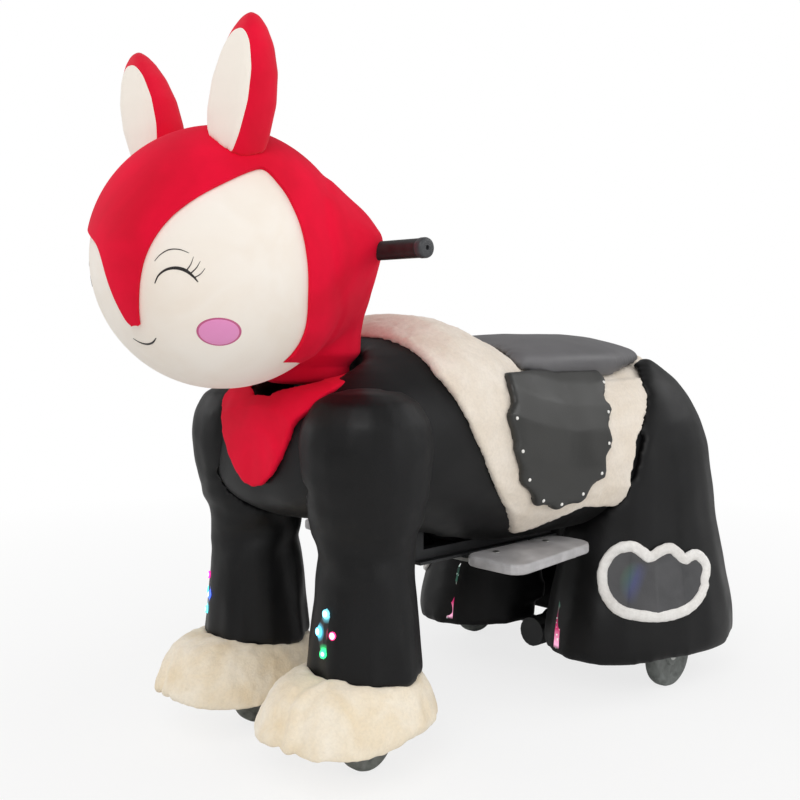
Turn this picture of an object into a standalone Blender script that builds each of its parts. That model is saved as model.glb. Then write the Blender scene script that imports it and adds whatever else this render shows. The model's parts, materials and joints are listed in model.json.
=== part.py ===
"""Plush ride-on animal with a steel chassis, a steered head and front wheels and a driven rear axle.

Metres, +Z up, facing -Y, its left side towards +X. The origin lies on the floor under the middle.
"""
import bmesh
import bpy
from math import cos, pi, radians, sin
from mathutils import Matrix, Vector

# Fits and mesh counts
SEAM_GAP = 0.0003
RUNNING_GAP = 0.0006
PLUSH_CLEARANCE = 0.002
OVERRUN = 0.02
BODY_SEGMENTS = 28
LIMB_SEGMENTS = 20
TUBE_SEGMENTS = 12
WHEEL_SEGMENTS = 18
NECK_SEGMENTS = 26
EAR_SEGMENTS = 18
GRIP_SEGMENTS = 16
PLATE_HOLE_SEGMENTS = 8
BALL_BANDS = 12
SIDES = (("left", 1), ("right", -1))

# Head, measured from the steering column
HEAD_RADIUS = 0.198
HEAD_HEIGHT = 0.812
HEAD_FORWARD = 0.165
HOOD_THICKNESS = 0.006
EAR_LENGTH = 0.205
EAR_WIDTH = 0.112
EAR_THICKNESS = 0.068
EAR_ROUNDNESS_SHARE = 0.65
EAR_SPREAD = 0.098
EAR_TIP_SPREAD = 0.154
EAR_TIP_HEIGHT = 1.145
EAR_TIP_FORWARD = 0.216
EAR_FORWARD = 0.207
HEAD_BOARD_THICKNESS = 0.012
HEAD_BOARD_RADIUS = 0.150
HEAD_BOARD_FORWARD = 0.040

# Neck and cowl behind the head
NECK_RADIUS = 0.088
NECK_LENGTH = 0.070
NECK_HOLE_CLEARANCE = 0.0045
COWL_RISE = 0.032
COWL_TOP_HEIGHT = 0.930
COWL_HALF_WIDTH = 0.190
COWL_HALF_DEPTH = 0.125
COWL_FORWARD = 0.045

# Hind legs, measured back from the front wheels
HAUNCH_BACK = 0.7304
HAUNCH_SPREAD = 0.172
HAUNCH_HEM_WIDTH_RADIUS = 0.160
HAUNCH_HEM_LENGTH_RADIUS = 0.243
HAUNCH_HEM_HEIGHT = 0.081
HAUNCH_TOP_HEIGHT = 0.640

# The floor point under the middle of the whole length
FEET_Y = (HEAD_FORWARD + HEAD_RADIUS + HOOD_THICKNESS - HAUNCH_BACK - HAUNCH_HEM_LENGTH_RADIUS) / 2

# Torso
CHEST_FORWARD = 0.105
TORSO_LENGTH = 0.985
TORSO_HALF_WIDTH = 0.235
BELLY_HEIGHT = 0.300
TORSO_HEIGHT = 0.420
FLANK_SHARE = 0.45
TORSO_ROUNDNESS_SHARE = 0.83
SADDLE_SHARE = 0.833
# along the length, ridge height, belly height, half width
TORSO_SHARES = (
    (0.000, 0.571, 0.381, 0.23), (0.008, 0.655, 0.310, 0.53), (0.030, 0.722, 0.262, 0.745),
    (0.070, 0.795, 0.233, 0.885), (0.120, 0.842, 0.210, 0.953), (0.180, 0.892, 0.167, 0.983),
    (0.240, 0.950, 0.119, 1.000), (0.290, 1.000, 0.076, 1.000), (0.350, 0.985, 0.043, 1.000),
    (0.430, 0.906, 0.018, 1.000), (0.520, 0.848, 0.010, 1.000), (0.620, SADDLE_SHARE, 0.010, 1.010),
    (0.720, 0.832, 0.010, 1.013), (0.800, 0.840, 0.014, 1.000), (0.870, 0.842, 0.036, 0.936),
    (0.930, 0.825, 0.095, 0.810), (0.970, 0.765, 0.179, 0.617), (0.990, 0.655, 0.274, 0.383),
    (1.000, 0.476, 0.357, 0.128),
)

# Front legs and boots
FRONT_SPREAD = 0.146
FRONT_LEG_RADIUS = 0.100
FRONT_HEM_HEIGHT = 0.1603
SHOULDER_HEIGHT = 0.614
# height between hem and shoulder, radius
FRONT_LEG_SHARES = (
    (0.00, 0.930), (0.13, 0.870), (0.24, 0.820), (0.41, 0.750), (0.48, 0.800),
    (0.57, 0.930), (0.69, 1.060), (0.80, 1.170), (0.89, 1.220), (0.955, 1.130), (0.985, 0.860), (1.00, 0.300),
)
BOOT_HALF_WIDTH = 0.124
BOOT_HALF_LENGTH = 0.160
BOOT_FORWARD = 0.037
BOOT_HEM_HEIGHT = 0.078
BOOT_TOP_HEIGHT = 0.175
# height, half width, half length, forward shift
BOOT_SHARES = (
    (0.00, 0.99, 0.99, 1.00), (0.17, 0.985, 0.985, 1.00), (0.34, 0.95, 0.95, 1.00), (0.52, 0.905, 0.91, 0.98),
    (0.68, 0.85, 0.86, 0.95), (0.82, 0.78, 0.79, 0.92), (0.93, 0.66, 0.69, 0.88), (1.00, 0.48, 0.52, 0.86),
)

# Hind leg outline: height, half width, half length
HAUNCH_SHARES = (
    (0.000, 1.000, 1.000), (0.080, 0.985, 0.980), (0.160, 0.945, 0.935), (0.230, 0.895, 0.885),
    (0.330, 0.830, 0.820), (0.445, 0.768, 0.755), (0.570, 0.720, 0.710), (0.700, 0.665, 0.650),
    (0.790, 0.580, 0.565), (0.860, 0.470, 0.455), (0.930, 0.320, 0.300), (1.000, 0.060, 0.050),
)

# Saddle pad, seat and side panels, measured back from the front wheels
PAD_THICKNESS = 0.012
PAD_FRONT = 0.109
PAD_LENGTH = 0.791
PAD_FOOT_HEIGHT = 0.348
PAD_HEIGHT = 0.414
# back from the front edge, height above the lowest tip
PAD_SHARES = (
    (0.077, 1.000), (0.032, 0.891), (0.004, 0.838), (0.000, 0.691), (0.032, 0.548), (0.061, 0.440),
    (0.096, 0.333), (0.123, 0.246), (0.186, 0.126), (0.254, 0.000), (0.315, 0.018), (0.368, 0.050),
    (0.444, 0.080), (0.580, 0.053), (0.600, 0.094), (0.599, 0.246), (0.622, 0.367), (0.704, 0.526),
    (0.796, 0.601), (1.000, 0.720), (1.000, 1.000),
)
SEAT_CROWN = 0.037
SEAT_SINK = 0.00686
SEAT_SKIRT_DEPTH = 0.090
SEAT_HALF_WIDTH = 0.190
SEAT_FRONT = 0.312
SEAT_LENGTH = 0.520
# half width, back from the front edge, around the left half
SEAT_SHARES = (
    (0.00, 0.075), (0.40, 0.045), (0.78, 0.000), (0.96, 0.040), (1.00, 0.200), (1.00, 0.535),
    (0.96, 0.620), (0.895, 0.690), (0.75, 0.840), (0.53, 0.940), (0.00, 1.000),
)
# inset towards the middle, rise of the crown above the edge
SEAT_CROWN_SHARES = ((0.97, -0.80), (1.00, -0.45), (0.985, -0.10), (0.93, 0.12), (0.80, 0.40), (0.55, 0.74),
                     (0.28, 0.94))
PANEL_THICKNESS = 0.014
PANEL_FRONT = 0.227
PANEL_LENGTH = 0.328
PANEL_FOOT_HEIGHT = 0.396
PANEL_HEIGHT = 0.236
# back from the front edge, height above the lowest point
PANEL_SHARES = (
    (0.085, 1.000), (0.050, 0.894), (0.056, 0.810), (0.000, 0.690), (0.034, 0.530), (0.062, 0.364),
    (0.120, 0.208), (0.243, 0.055), (0.410, 0.000), (0.576, 0.017), (0.674, 0.127), (0.759, 0.186),
    (0.777, 0.343), (0.835, 0.443), (0.823, 0.568), (0.884, 0.684), (0.864, 0.754), (0.958, 0.890),
    (1.000, 1.000),
)

# Bib on the chest
BIB_THICKNESS = 0.010
BIB_HALF_WIDTH = 0.129
BIB_TIP_HEIGHT = 0.454
BIB_HEIGHT = 0.246
BIB_BACK = 0.030
# half width, height above the tip, up the left half
BIB_SHARES = (
    (0.00, 0.00), (0.19, 0.02), (0.37, 0.09), (0.53, 0.19), (0.66, 0.30), (0.76, 0.46), (0.91, 0.53),
    (1.00, 0.65), (0.97, 0.76), (0.86, 1.00), (0.00, 1.00),
)

# Paw badges on the haunches
BADGE_THICKNESS = 0.010
BADGE_AZIMUTH = 70
BADGE_WIDTH = 0.249
BADGE_HEIGHT = 0.153
BADGE_FOOT_HEIGHT = 0.155
BADGE_MIDDLE = -0.060
BADGE_SHARES = (
    (0.01, 0.61), (0.04, 0.76), (0.12, 0.94), (0.23, 1.00), (0.31, 0.93), (0.38, 0.80), (0.47, 0.90),
    (0.58, 0.94), (0.65, 0.86), (0.72, 0.73), (0.81, 0.78), (0.88, 0.79), (0.97, 0.68), (1.00, 0.53),
    (0.94, 0.40), (0.94, 0.30), (0.84, 0.14), (0.69, 0.05), (0.51, 0.00), (0.30, 0.02), (0.10, 0.09),
    (0.03, 0.23), (0.00, 0.41),
)

# Face openings in the hood, seen square to each cheek: across and up from the head's middle
FACE_AZIMUTH = 46.6
FACE_SHARES = (
    (-0.66, -0.50), (-0.672, -0.33), (-0.672, -0.20), (-0.65, -0.11), (-0.61, 0.045), (-0.515, 0.20),
    (-0.39, 0.34), (-0.157, 0.515), (0.076, 0.62), (0.32, 0.73), (0.50, 0.545), (0.61, 0.31), (0.66, 0.11),
    (0.687, -0.12), (0.67, -0.56), (0.58, -0.70), (0.36, -0.96), (0.10, -1.20), (-1.20, -1.20),
    (-1.20, -0.52),
)

# Steering column, handlebar and grips
COLUMN_RADIUS = 0.0127
COLUMN_END = 0.006
BAR_HEIGHT = 0.826
BAR_RADIUS = 0.011
BAR_HALF_LENGTH = 0.280
CLAMP_RADIUS = 0.020
CLAMP_HALF_WIDTH = 0.026
BRACKET_HALF_WIDTH = 0.022
BRACKET_FOOT_HEIGHT = 0.735
BRACKET_TOP_HEIGHT = 0.785
GRIP_START = 0.150
GRIP_RADIUS = 0.0145
GRIP_FLARE_RADIUS = 0.0178
GRIP_FLARE_LENGTH = 0.014
GRIP_END_WALL = 0.004
GRIP_VENT_RADIUS = 0.003
SWITCH_LENGTH = 0.026
SWITCH_RADIUS = 0.019
BUTTON_RADIUS = 0.0065
BUTTON_LENGTH = 0.0075
BUTTON_PROUD = 0.004
BUTTON_TRAVEL = 0.003

# Steering linkage under the column
ARM_LENGTH = 0.050
ARM_DROP = 0.084
ARM_THICKNESS = 0.008
ARM_EYE_RADIUS = 0.010
PIN_RADIUS = 0.004
TIE_ROD_THICKNESS = 0.007
TIE_ROD_HALF_DEPTH = 0.006
OPEN_PIVOT_CLEARANCE = 0.001
STEERING_LIMIT = 28

# Front forks and wheels
STEM_RADIUS = 0.0127
FORK_CROWN_HEIGHT = 0.108
FORK_CROWN_THICKNESS = 0.008
FORK_BLADE_THICKNESS = 0.004
FORK_BLADE_HALF_DEPTH = 0.014
FORK_BLADE_FOOT_HEIGHT = 0.036
FRONT_WHEEL_RADIUS = 0.050
FRONT_WHEEL_WIDTH = 0.032
FRONT_WHEEL_SIDE_GAP = 0.003
FRONT_AXLE_RADIUS = 0.005
WHEEL_WELL_RADIUS = 0.062
WHEEL_WELL_HEIGHT = 0.126

# Rear axle and wheels, measured back from the front wheels
REAR_AXLE_BACK = 0.700
REAR_WHEEL_RADIUS = 0.0625
REAR_WHEEL_WIDTH = 0.030
REAR_WHEEL_SPREAD = 0.256
REAR_AXLE_RADIUS = 0.010
REAR_WELL_CLEARANCE = 0.012
BEARING_RADIUS = 0.020
BEARING_WIDTH = 0.018
GEARBOX_RADIUS = 0.034
GEARBOX_HALF_WIDTH = 0.042
MOTOR_RADIUS = 0.030
MOTOR_LENGTH = 0.075
TORQUE_ARM_WIDTH = 0.024
TORQUE_ARM_DEPTH = 0.008

# Wheel outline: along the width from one face, radius
WHEEL_SHARES = (
    (0.00, 0.30), (0.16, 0.34), (0.16, 0.72), (0.03, 0.80), (0.22, 1.00), (0.78, 1.00), (0.97, 0.80),
    (0.84, 0.72), (0.84, 0.34), (1.00, 0.30),
)

# Chassis, measured back from the front wheels
RAIL_WIDTH = 0.020
RAIL_INNER = 0.085
RAIL_RISE = 0.0085
HOOP_HEIGHT = 0.2365
SPINE_HALF_WIDTH = 0.018
SPINE_DEPTH = 0.028
FRONT_HOOP_BACK = 0.150
MIDDLE_HOOP_BACK = 0.500
REAR_HOOP_BACK = 0.690
HEAD_TUBE_RADIUS = 0.022
HEAD_TUBE_FOOT_RISE = 0.032
HEAD_TUBE_RISE = 0.057
BUSH_WALL = 0.0035
LEG_TUBE_RADIUS = 0.0215
LEG_TUBE_FOOT_HEIGHT = 0.166
LEG_TUBE_DROP = 0.014
CROSS_TUBE_DEPTH = 0.024
CROSS_TUBE_HALF_WIDTH = 0.014
BUSH_LENGTH = 0.030
BUSH_FLANGE = 0.003
DROP_PLATE_SPREAD = 0.197
DROP_PLATE_THICKNESS = 0.006
DROP_PLATE_HALF_DEPTH = 0.028
REAR_CROSS_DEPTH = 0.026
REAR_CROSS_HALF_WIDTH = 0.015
SEAT_POST_HALF_WIDTH = 0.012
SEAT_POST_PLACES = (0.350, 0.495)

# Seat board, belly plate and what they carry
BOARD_THICKNESS = 0.012
BOARD_HALF_WIDTH = 0.095
BOARD_FRONT = 0.320
BOARD_LENGTH = 0.340
SEAT_POST_HEIGHT = 0.031
BELLY_PLATE_THICKNESS = 0.005
BELLY_PLATE_HALF_WIDTH = 0.118
BELLY_PLATE_FRONT = 0.150
BELLY_PLATE_LENGTH = 0.371
BATTERY_HALF_WIDTH = 0.076
BATTERY_LENGTH = 0.200
BATTERY_HEIGHT = 0.098
BATTERY_FRONT = 0.320
STRAP_WIDTH = 0.030
STRAP_THICKNESS = 0.003
STRAP_FRONT = 0.400
CONTROLLER_HALF_WIDTH = 0.040
CONTROLLER_LENGTH = 0.120
CONTROLLER_HEIGHT = 0.036
CONTROLLER_FRONT = 0.345
SPEAKER_RADIUS = 0.045
SPEAKER_MAGNET_RADIUS = 0.025
SPEAKER_DEPTH = 0.030
SPEAKER_BACK = 0.240
SPEAKER_HOLE_RADIUS = 0.004
SPEAKER_HOLE_RING_RADIUS = 0.022
SPEAKER_HOLE_COUNT = 6
SOCKET_RADIUS = 0.011
SOCKET_FLANGE_RADIUS = 0.016
SOCKET_DEPTH = 0.022
SOCKET_BORE_RADIUS = 0.004
SOCKET_BACK = 0.180
SOCKET_SIDE = 0.050
ROCKER_BACK = 0.180
ROCKER_SIDE = -0.050
ROCKER_HALF_LENGTH = 0.013
ROCKER_HALF_WIDTH = 0.0085
ROCKER_PROUD = 0.003
ROCKER_DEPTH = 0.006

# Footrests
STEP_THICKNESS = 0.018
STEP_INNER = 0.160
STEP_WIDTH = 0.130
STEP_FRONT = 0.205
STEP_LENGTH = 0.255
STEP_TAPER = 0.036
STEP_CORNER = 0.032
STEP_EDGE = 0.004
STEP_BAR_WIDTH = 0.030
STEP_BAR_THICKNESS = 0.006
STEP_BAR_INNER = 0.060
STEP_BAR_PLACES = (0.250, 0.385)
STEP_LUG_THICKNESS = 0.004
STEP_LUG_HEIGHT = 0.022

# Lights
LENS_RADIUS = 0.0065
LENS_PROUD = 0.0045
LIGHT_HEIGHT = 0.240
LIGHT_RISE = 0.031
LIGHT_REACH = 0.017
LIGHT_TAPE_BORDER = 0.008
LIGHT_TAPE_THICKNESS = 0.0016
LIGHT_AZIMUTHS = {"left": 2, "right": 32}
STRIP_HALF_WIDTH = 0.007
STRIP_THICKNESS = 0.004
STRIP_FOOT_HEIGHT = 0.092
STRIP_LENGTH = 0.115
STRIP_INNER_SHIFT = 0.030

# Finishes: colour, roughness, metallic
FINISHES = {
    "red_plush": ((0.80, 0.006, 0.026, 1), 0.90, 0.0),
    "cream_plush": ((0.86, 0.80, 0.72, 1), 0.92, 0.0),
    "boot_plush": ((0.84, 0.70, 0.50, 1), 0.95, 0.0),
    "black_plush": ((0.012, 0.012, 0.014, 1), 0.75, 0.0),
    "seat_leatherette": ((0.14, 0.14, 0.145, 1), 0.45, 0.0),
    "panel_leatherette": ((0.05, 0.05, 0.048, 1), 0.50, 0.0),
    "black_rubber": ((0.02, 0.02, 0.02, 1), 0.60, 0.0),
    "grey_wheel": ((0.15, 0.16, 0.15, 1), 0.50, 0.0),
    "grey_plastic": ((0.32, 0.31, 0.31, 1), 0.40, 0.0),
    "black_plastic": ((0.03, 0.03, 0.03, 1), 0.40, 0.0),
    "green_plastic": ((0.03, 0.45, 0.10, 1), 0.35, 0.0),
    "black_steel": ((0.03, 0.03, 0.03, 1), 0.40, 0.6),
    "zinc_steel": ((0.60, 0.60, 0.60, 1), 0.30, 1.0),
    "plywood": ((0.55, 0.38, 0.20, 1), 0.70, 0.0),
    "webbing": ((0.02, 0.02, 0.02, 1), 0.80, 0.0),
    "light_lens": ((0.75, 0.90, 1.00, 1), 0.15, 0.0),
}

REAR_AXLE_Y = FEET_Y + REAR_AXLE_BACK
HAUNCH_Y = FEET_Y + HAUNCH_BACK
HEAD_Y = FEET_Y - HEAD_FORWARD
RAIL_FOOT_HEIGHT = BELLY_HEIGHT + RAIL_RISE
RAIL_TOP_HEIGHT = RAIL_FOOT_HEIGHT + RAIL_WIDTH
SPINE_HEIGHT = RAIL_FOOT_HEIGHT + HOOP_HEIGHT
SPINE_TOP_HEIGHT = SPINE_HEIGHT + SPINE_DEPTH
BOARD_HEIGHT = SPINE_TOP_HEIGHT + SEAT_POST_HEIGHT
ARM_HEIGHT = SPINE_HEIGHT - ARM_DROP
STEER_SWEEP = ARM_LENGTH * sin(radians(STEERING_LIMIT)) + PLUSH_CLEARANCE
COLUMN_FOOT_HEIGHT = ARM_HEIGHT - COLUMN_END
LEG_TUBE_TOP_HEIGHT = ARM_HEIGHT - LEG_TUBE_DROP
HEAD_TUBE_FOOT_HEIGHT = ARM_HEIGHT + HEAD_TUBE_FOOT_RISE
HEAD_TUBE_TOP_HEIGHT = SPINE_TOP_HEIGHT + HEAD_TUBE_RISE
COWL_FOOT_HEIGHT = HEAD_TUBE_TOP_HEIGHT + COWL_RISE
NECK_FOOT_HEIGHT = COWL_FOOT_HEIGHT - NECK_LENGTH
SEAT_EDGE_HEIGHT = BELLY_HEIGHT + TORSO_HEIGHT * SADDLE_SHARE + PAD_THICKNESS - SEAT_SINK
SEAT_SKIRT_HEIGHT = SEAT_EDGE_HEIGHT - SEAT_SKIRT_DEPTH
BELLY_PLATE_TOP_HEIGHT = RAIL_FOOT_HEIGHT - SEAM_GAP
BELLY_PLATE_FOOT_HEIGHT = BELLY_PLATE_TOP_HEIGHT - BELLY_PLATE_THICKNESS


# Basic shapes, all in the object's own frame

def loft(rings):
    """A closed skin through rings of equal count, with one diagonal rule so that grown copies nest."""
    bm = bmesh.new()
    rows = [[bm.verts.new(point) for point in ring] for ring in rings]
    count = len(rows[0])
    for lower, upper in zip(rows, rows[1:]):
        for i in range(count):
            j = (i + 1) % count
            bm.faces.new((lower[i], lower[j], upper[j]))
            bm.faces.new((lower[i], upper[j], upper[i]))
    bm.faces.new(rows[0])
    bm.faces.new(rows[-1])
    bmesh.ops.recalc_face_normals(bm, faces=bm.faces)
    return bm


def box(x_span, y_span, z_span):
    bm = bmesh.new()
    size = [span[1] - span[0] for span in (x_span, y_span, z_span)]
    middle = [(span[1] + span[0]) / 2 for span in (x_span, y_span, z_span)]
    bmesh.ops.create_cube(bm, size=1, matrix=Matrix.Translation(middle) @ Matrix.Diagonal((*size, 1)))
    return bm


def turned(profile, centre, axis="Z", segments=TUBE_SEGMENTS, flat_foot=False):
    """A turned solid: (distance along the axis, radius) pairs, closed on the axis at both ends."""
    turn = pi / segments if flat_foot else 0
    spread = 1 / cos(pi / segments) if flat_foot else 1
    frames = {"X": ((1, 0, 0), (0, 1, 0), (0, 0, 1)), "Y": ((0, 1, 0), (0, 0, 1), (1, 0, 0)),
              "Z": ((0, 0, 1), (1, 0, 0), (0, 1, 0))}
    along, across, up = (Vector(v) for v in frames[axis])
    rings = []
    for distance, radius in profile:
        if radius > 0:
            rings.append([Vector(centre) + along * distance
                          + (across * sin(turn + 2 * pi * i / segments)
                             + up * cos(turn + 2 * pi * i / segments)) * radius * spread
                          for i in range(segments)])
    return loft(rings)


def rod(start, end, radius, segments=TUBE_SEGMENTS):
    """A round bar between two points on a line parallel to an axis."""
    run = Vector(end) - Vector(start)
    axis = "XYZ"[max(range(3), key=lambda i: abs(run[i]))]
    return turned(((0, radius), (sum(run), radius)), start, axis, segments)


def upright_slab(outline, middle, azimuth, span):
    """An outline of (across, height) points pushed along the level direction that an azimuth faces."""
    turn = radians(azimuth)
    across = Vector((cos(turn), sin(turn), 0))
    facing = Vector((sin(turn), -cos(turn), 0))
    rings = [[Vector((middle[0], middle[1], 0)) + across * u + facing * reach + Vector((0, 0, z))
              for u, z in outline] for reach in span]
    return loft(rings)


def grown_outline(outline, grow):
    """An anticlockwise outline moved outwards by one width all round."""
    points = [Vector(point) for point in outline]
    moved = []
    for before, point, after in zip(points[-1:] + points[:-1], points, points[1:] + points[:1]):
        first, second = [Vector((run.y, -run.x)) for run in ((point - before).normalized(),
                                                             (after - point).normalized())]
        middle = (first + second).normalized()
        moved.append(point + middle * grow / middle.dot(first))
    return moved


def half_turned_over(points):
    """A left half outline, from its first point on the middle line to its last, closed on the right."""
    right = [(-u, v) for u, v in reversed(points) if abs(u) > 0]
    return list(points) + right


def on_side(bm, side):
    """The same shape on the left side (1) or mirrored to the right side (-1)."""
    if side < 0:
        bmesh.ops.scale(bm, vec=(-1, 1, 1), verts=bm.verts)
        bmesh.ops.reverse_faces(bm, faces=bm.faces)
    return bm


# The stuffed forms: each can be grown outwards, to cut or to carry its neighbour

def torso_form(grow=0.0):
    middle = FEET_Y - CHEST_FORWARD + TORSO_LENGTH / 2
    stretch = 1 + 2 * grow / TORSO_LENGTH
    rings = []
    for along, ridge, belly, width in TORSO_SHARES:
        y = middle + (along - 0.5) * TORSO_LENGTH * stretch
        top = BELLY_HEIGHT + ridge * TORSO_HEIGHT + grow
        low = BELLY_HEIGHT + belly * TORSO_HEIGHT - grow
        flank = low + FLANK_SHARE * (top - low)
        half = width * TORSO_HALF_WIDTH + grow
        ring = []
        for i in range(BODY_SEGMENTS):
            turn = 2 * pi * i / BODY_SEGMENTS
            c, s = cos(turn), sin(turn)
            x = half * abs(c) ** TORSO_ROUNDNESS_SHARE * (1 if c > 0 else -1)
            reach = top - flank if s > 0 else flank - low
            z = flank + reach * abs(s) ** TORSO_ROUNDNESS_SHARE * (1 if s > 0 else -1)
            ring.append(Vector((x, y, z)))
        rings.append(ring)
    return loft(rings)


def oval(x, y, z, half_x, half_y, segments=LIMB_SEGMENTS, roundness=1.0):
    """A level oval; a roundness under 1 makes it squarer."""
    ring = []
    for i in range(segments):
        c, s = cos(2 * pi * i / segments), sin(2 * pi * i / segments)
        ring.append(Vector((x + half_x * abs(c) ** roundness * (1 if c > 0 else -1),
                            y + half_y * abs(s) ** roundness * (1 if s > 0 else -1), z)))
    return ring


def haunch_form(side, grow=0.0, foot=0.0):
    """The bell of a hind leg; foot lengthens it downwards where it cuts."""
    height = HAUNCH_TOP_HEIGHT - HAUNCH_HEM_HEIGHT
    rings = [oval(side * HAUNCH_SPREAD, HAUNCH_Y, HAUNCH_HEM_HEIGHT - foot + (height + grow + foot) * up,
                  HAUNCH_HEM_WIDTH_RADIUS * wide + grow, HAUNCH_HEM_LENGTH_RADIUS * long + grow)
             for up, wide, long in HAUNCH_SHARES]
    return loft(rings)


def front_leg_form(side, grow=0.0):
    height = SHOULDER_HEIGHT - FRONT_HEM_HEIGHT
    return loft([oval(side * FRONT_SPREAD, FEET_Y, FRONT_HEM_HEIGHT + (height + grow) * up,
                      FRONT_LEG_RADIUS * wide + grow, FRONT_LEG_RADIUS * wide + grow)
                 for up, wide in FRONT_LEG_SHARES])


def head_form(grow=0.0):
    radius = HEAD_RADIUS + grow
    rings = [oval(0, HEAD_Y, HEAD_HEIGHT - radius * cos(pi * i / BALL_BANDS), radius * sin(pi * i / BALL_BANDS),
                  radius * sin(pi * i / BALL_BANDS), BODY_SEGMENTS) for i in range(1, BALL_BANDS)]
    return loft(rings)


def cowl_form(grow=0.0):
    """The hood's back, drawn over the handlebar and down to the round neck."""
    # height between cowl foot and cowl top, half width, half depth, forward shift
    shares = ((0.14, None), (0.22, 0.54, 0.80, 0.25), (0.33, 0.66, 0.90, 0.55),
              (0.44, 0.81, 0.96, 0.80), (0.52, 0.93, 1.00, 0.95), (0.61, 1.00, 1.00, 1.00),
              (0.71, 1.00, 1.00, 1.00), (0.82, 0.87, 0.94, 1.10), (0.92, 0.72, 0.86, 1.40),
              (1.00, 0.52, 0.74, 1.80))
    rings = [oval(0, FEET_Y, NECK_FOOT_HEIGHT - grow, NECK_RADIUS + grow, NECK_RADIUS + grow, BODY_SEGMENTS)]
    for share in shares:
        z = COWL_FOOT_HEIGHT + (COWL_TOP_HEIGHT - COWL_FOOT_HEIGHT) * share[0]
        if share[1] is None:
            rings.append(oval(0, FEET_Y, z, NECK_RADIUS + grow, NECK_RADIUS + grow, BODY_SEGMENTS))
        else:
            rings.append(oval(0, FEET_Y - COWL_FORWARD * share[3], z, COWL_HALF_WIDTH * share[1] + grow,
                              COWL_HALF_DEPTH * share[2] + grow, BODY_SEGMENTS))
    return loft(rings)


# Objects, bodies and cuts

def material(name):
    found = bpy.data.materials.get(name)
    if found:
        return found
    colour, roughness, metallic = FINISHES[name]
    made = bpy.data.materials.new(name)
    made.use_nodes = True
    shader = made.node_tree.nodes["Principled BSDF"]
    shader.inputs["Base Color"].default_value = colour
    shader.inputs["Roughness"].default_value = roughness
    shader.inputs["Metallic"].default_value = metallic
    return made


def body(name, place, parent=None):
    """An empty on a joint's axis, which its moving pieces hang from."""
    empty = bpy.data.objects.new(name, None)
    bpy.context.scene.collection.objects.link(empty)
    empty["place"] = place
    if parent:
        empty.parent = parent
        empty.location = Vector(place) - Vector(parent["place"])
    else:
        empty.location = place
    return empty


def piece(name, bm, finish, carrier=None):
    """A sub-part; its mesh is modelled in the object's frame and moved under its carrier."""
    if carrier:
        bmesh.ops.translate(bm, vec=-Vector(carrier["place"]), verts=bm.verts)
    mesh = bpy.data.meshes.new(name)
    bm.to_mesh(mesh)
    bm.free()
    mesh.shade_smooth()
    mesh.set_sharp_from_angle(angle=radians(38))
    mesh.materials.append(material(finish))
    obj = bpy.data.objects.new(name, mesh)
    bpy.context.scene.collection.objects.link(obj)
    obj.parent = carrier
    return obj


def guide(name, bm):
    """A hidden shape that cuts or joins."""
    mesh = bpy.data.meshes.new(name)
    bm.to_mesh(mesh)
    bm.free()
    obj = bpy.data.objects.new(name, mesh)
    bpy.context.scene.collection.objects.link(obj)
    obj.hide_render = True
    obj.display_type = "WIRE"
    return obj


def combine(target, operation, *others):
    for other in others:
        step = target.modifiers.new(other.name, "BOOLEAN")
        step.operation = operation
        step.solver = "EXACT"
        step.object = other
    return target


def cut(target, *others):
    return combine(target, "DIFFERENCE", *others)


def join(target, *others):
    return combine(target, "UNION", *others)


def keep_inside(target, *others):
    return combine(target, "INTERSECT", *others)


# Chassis

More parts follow.
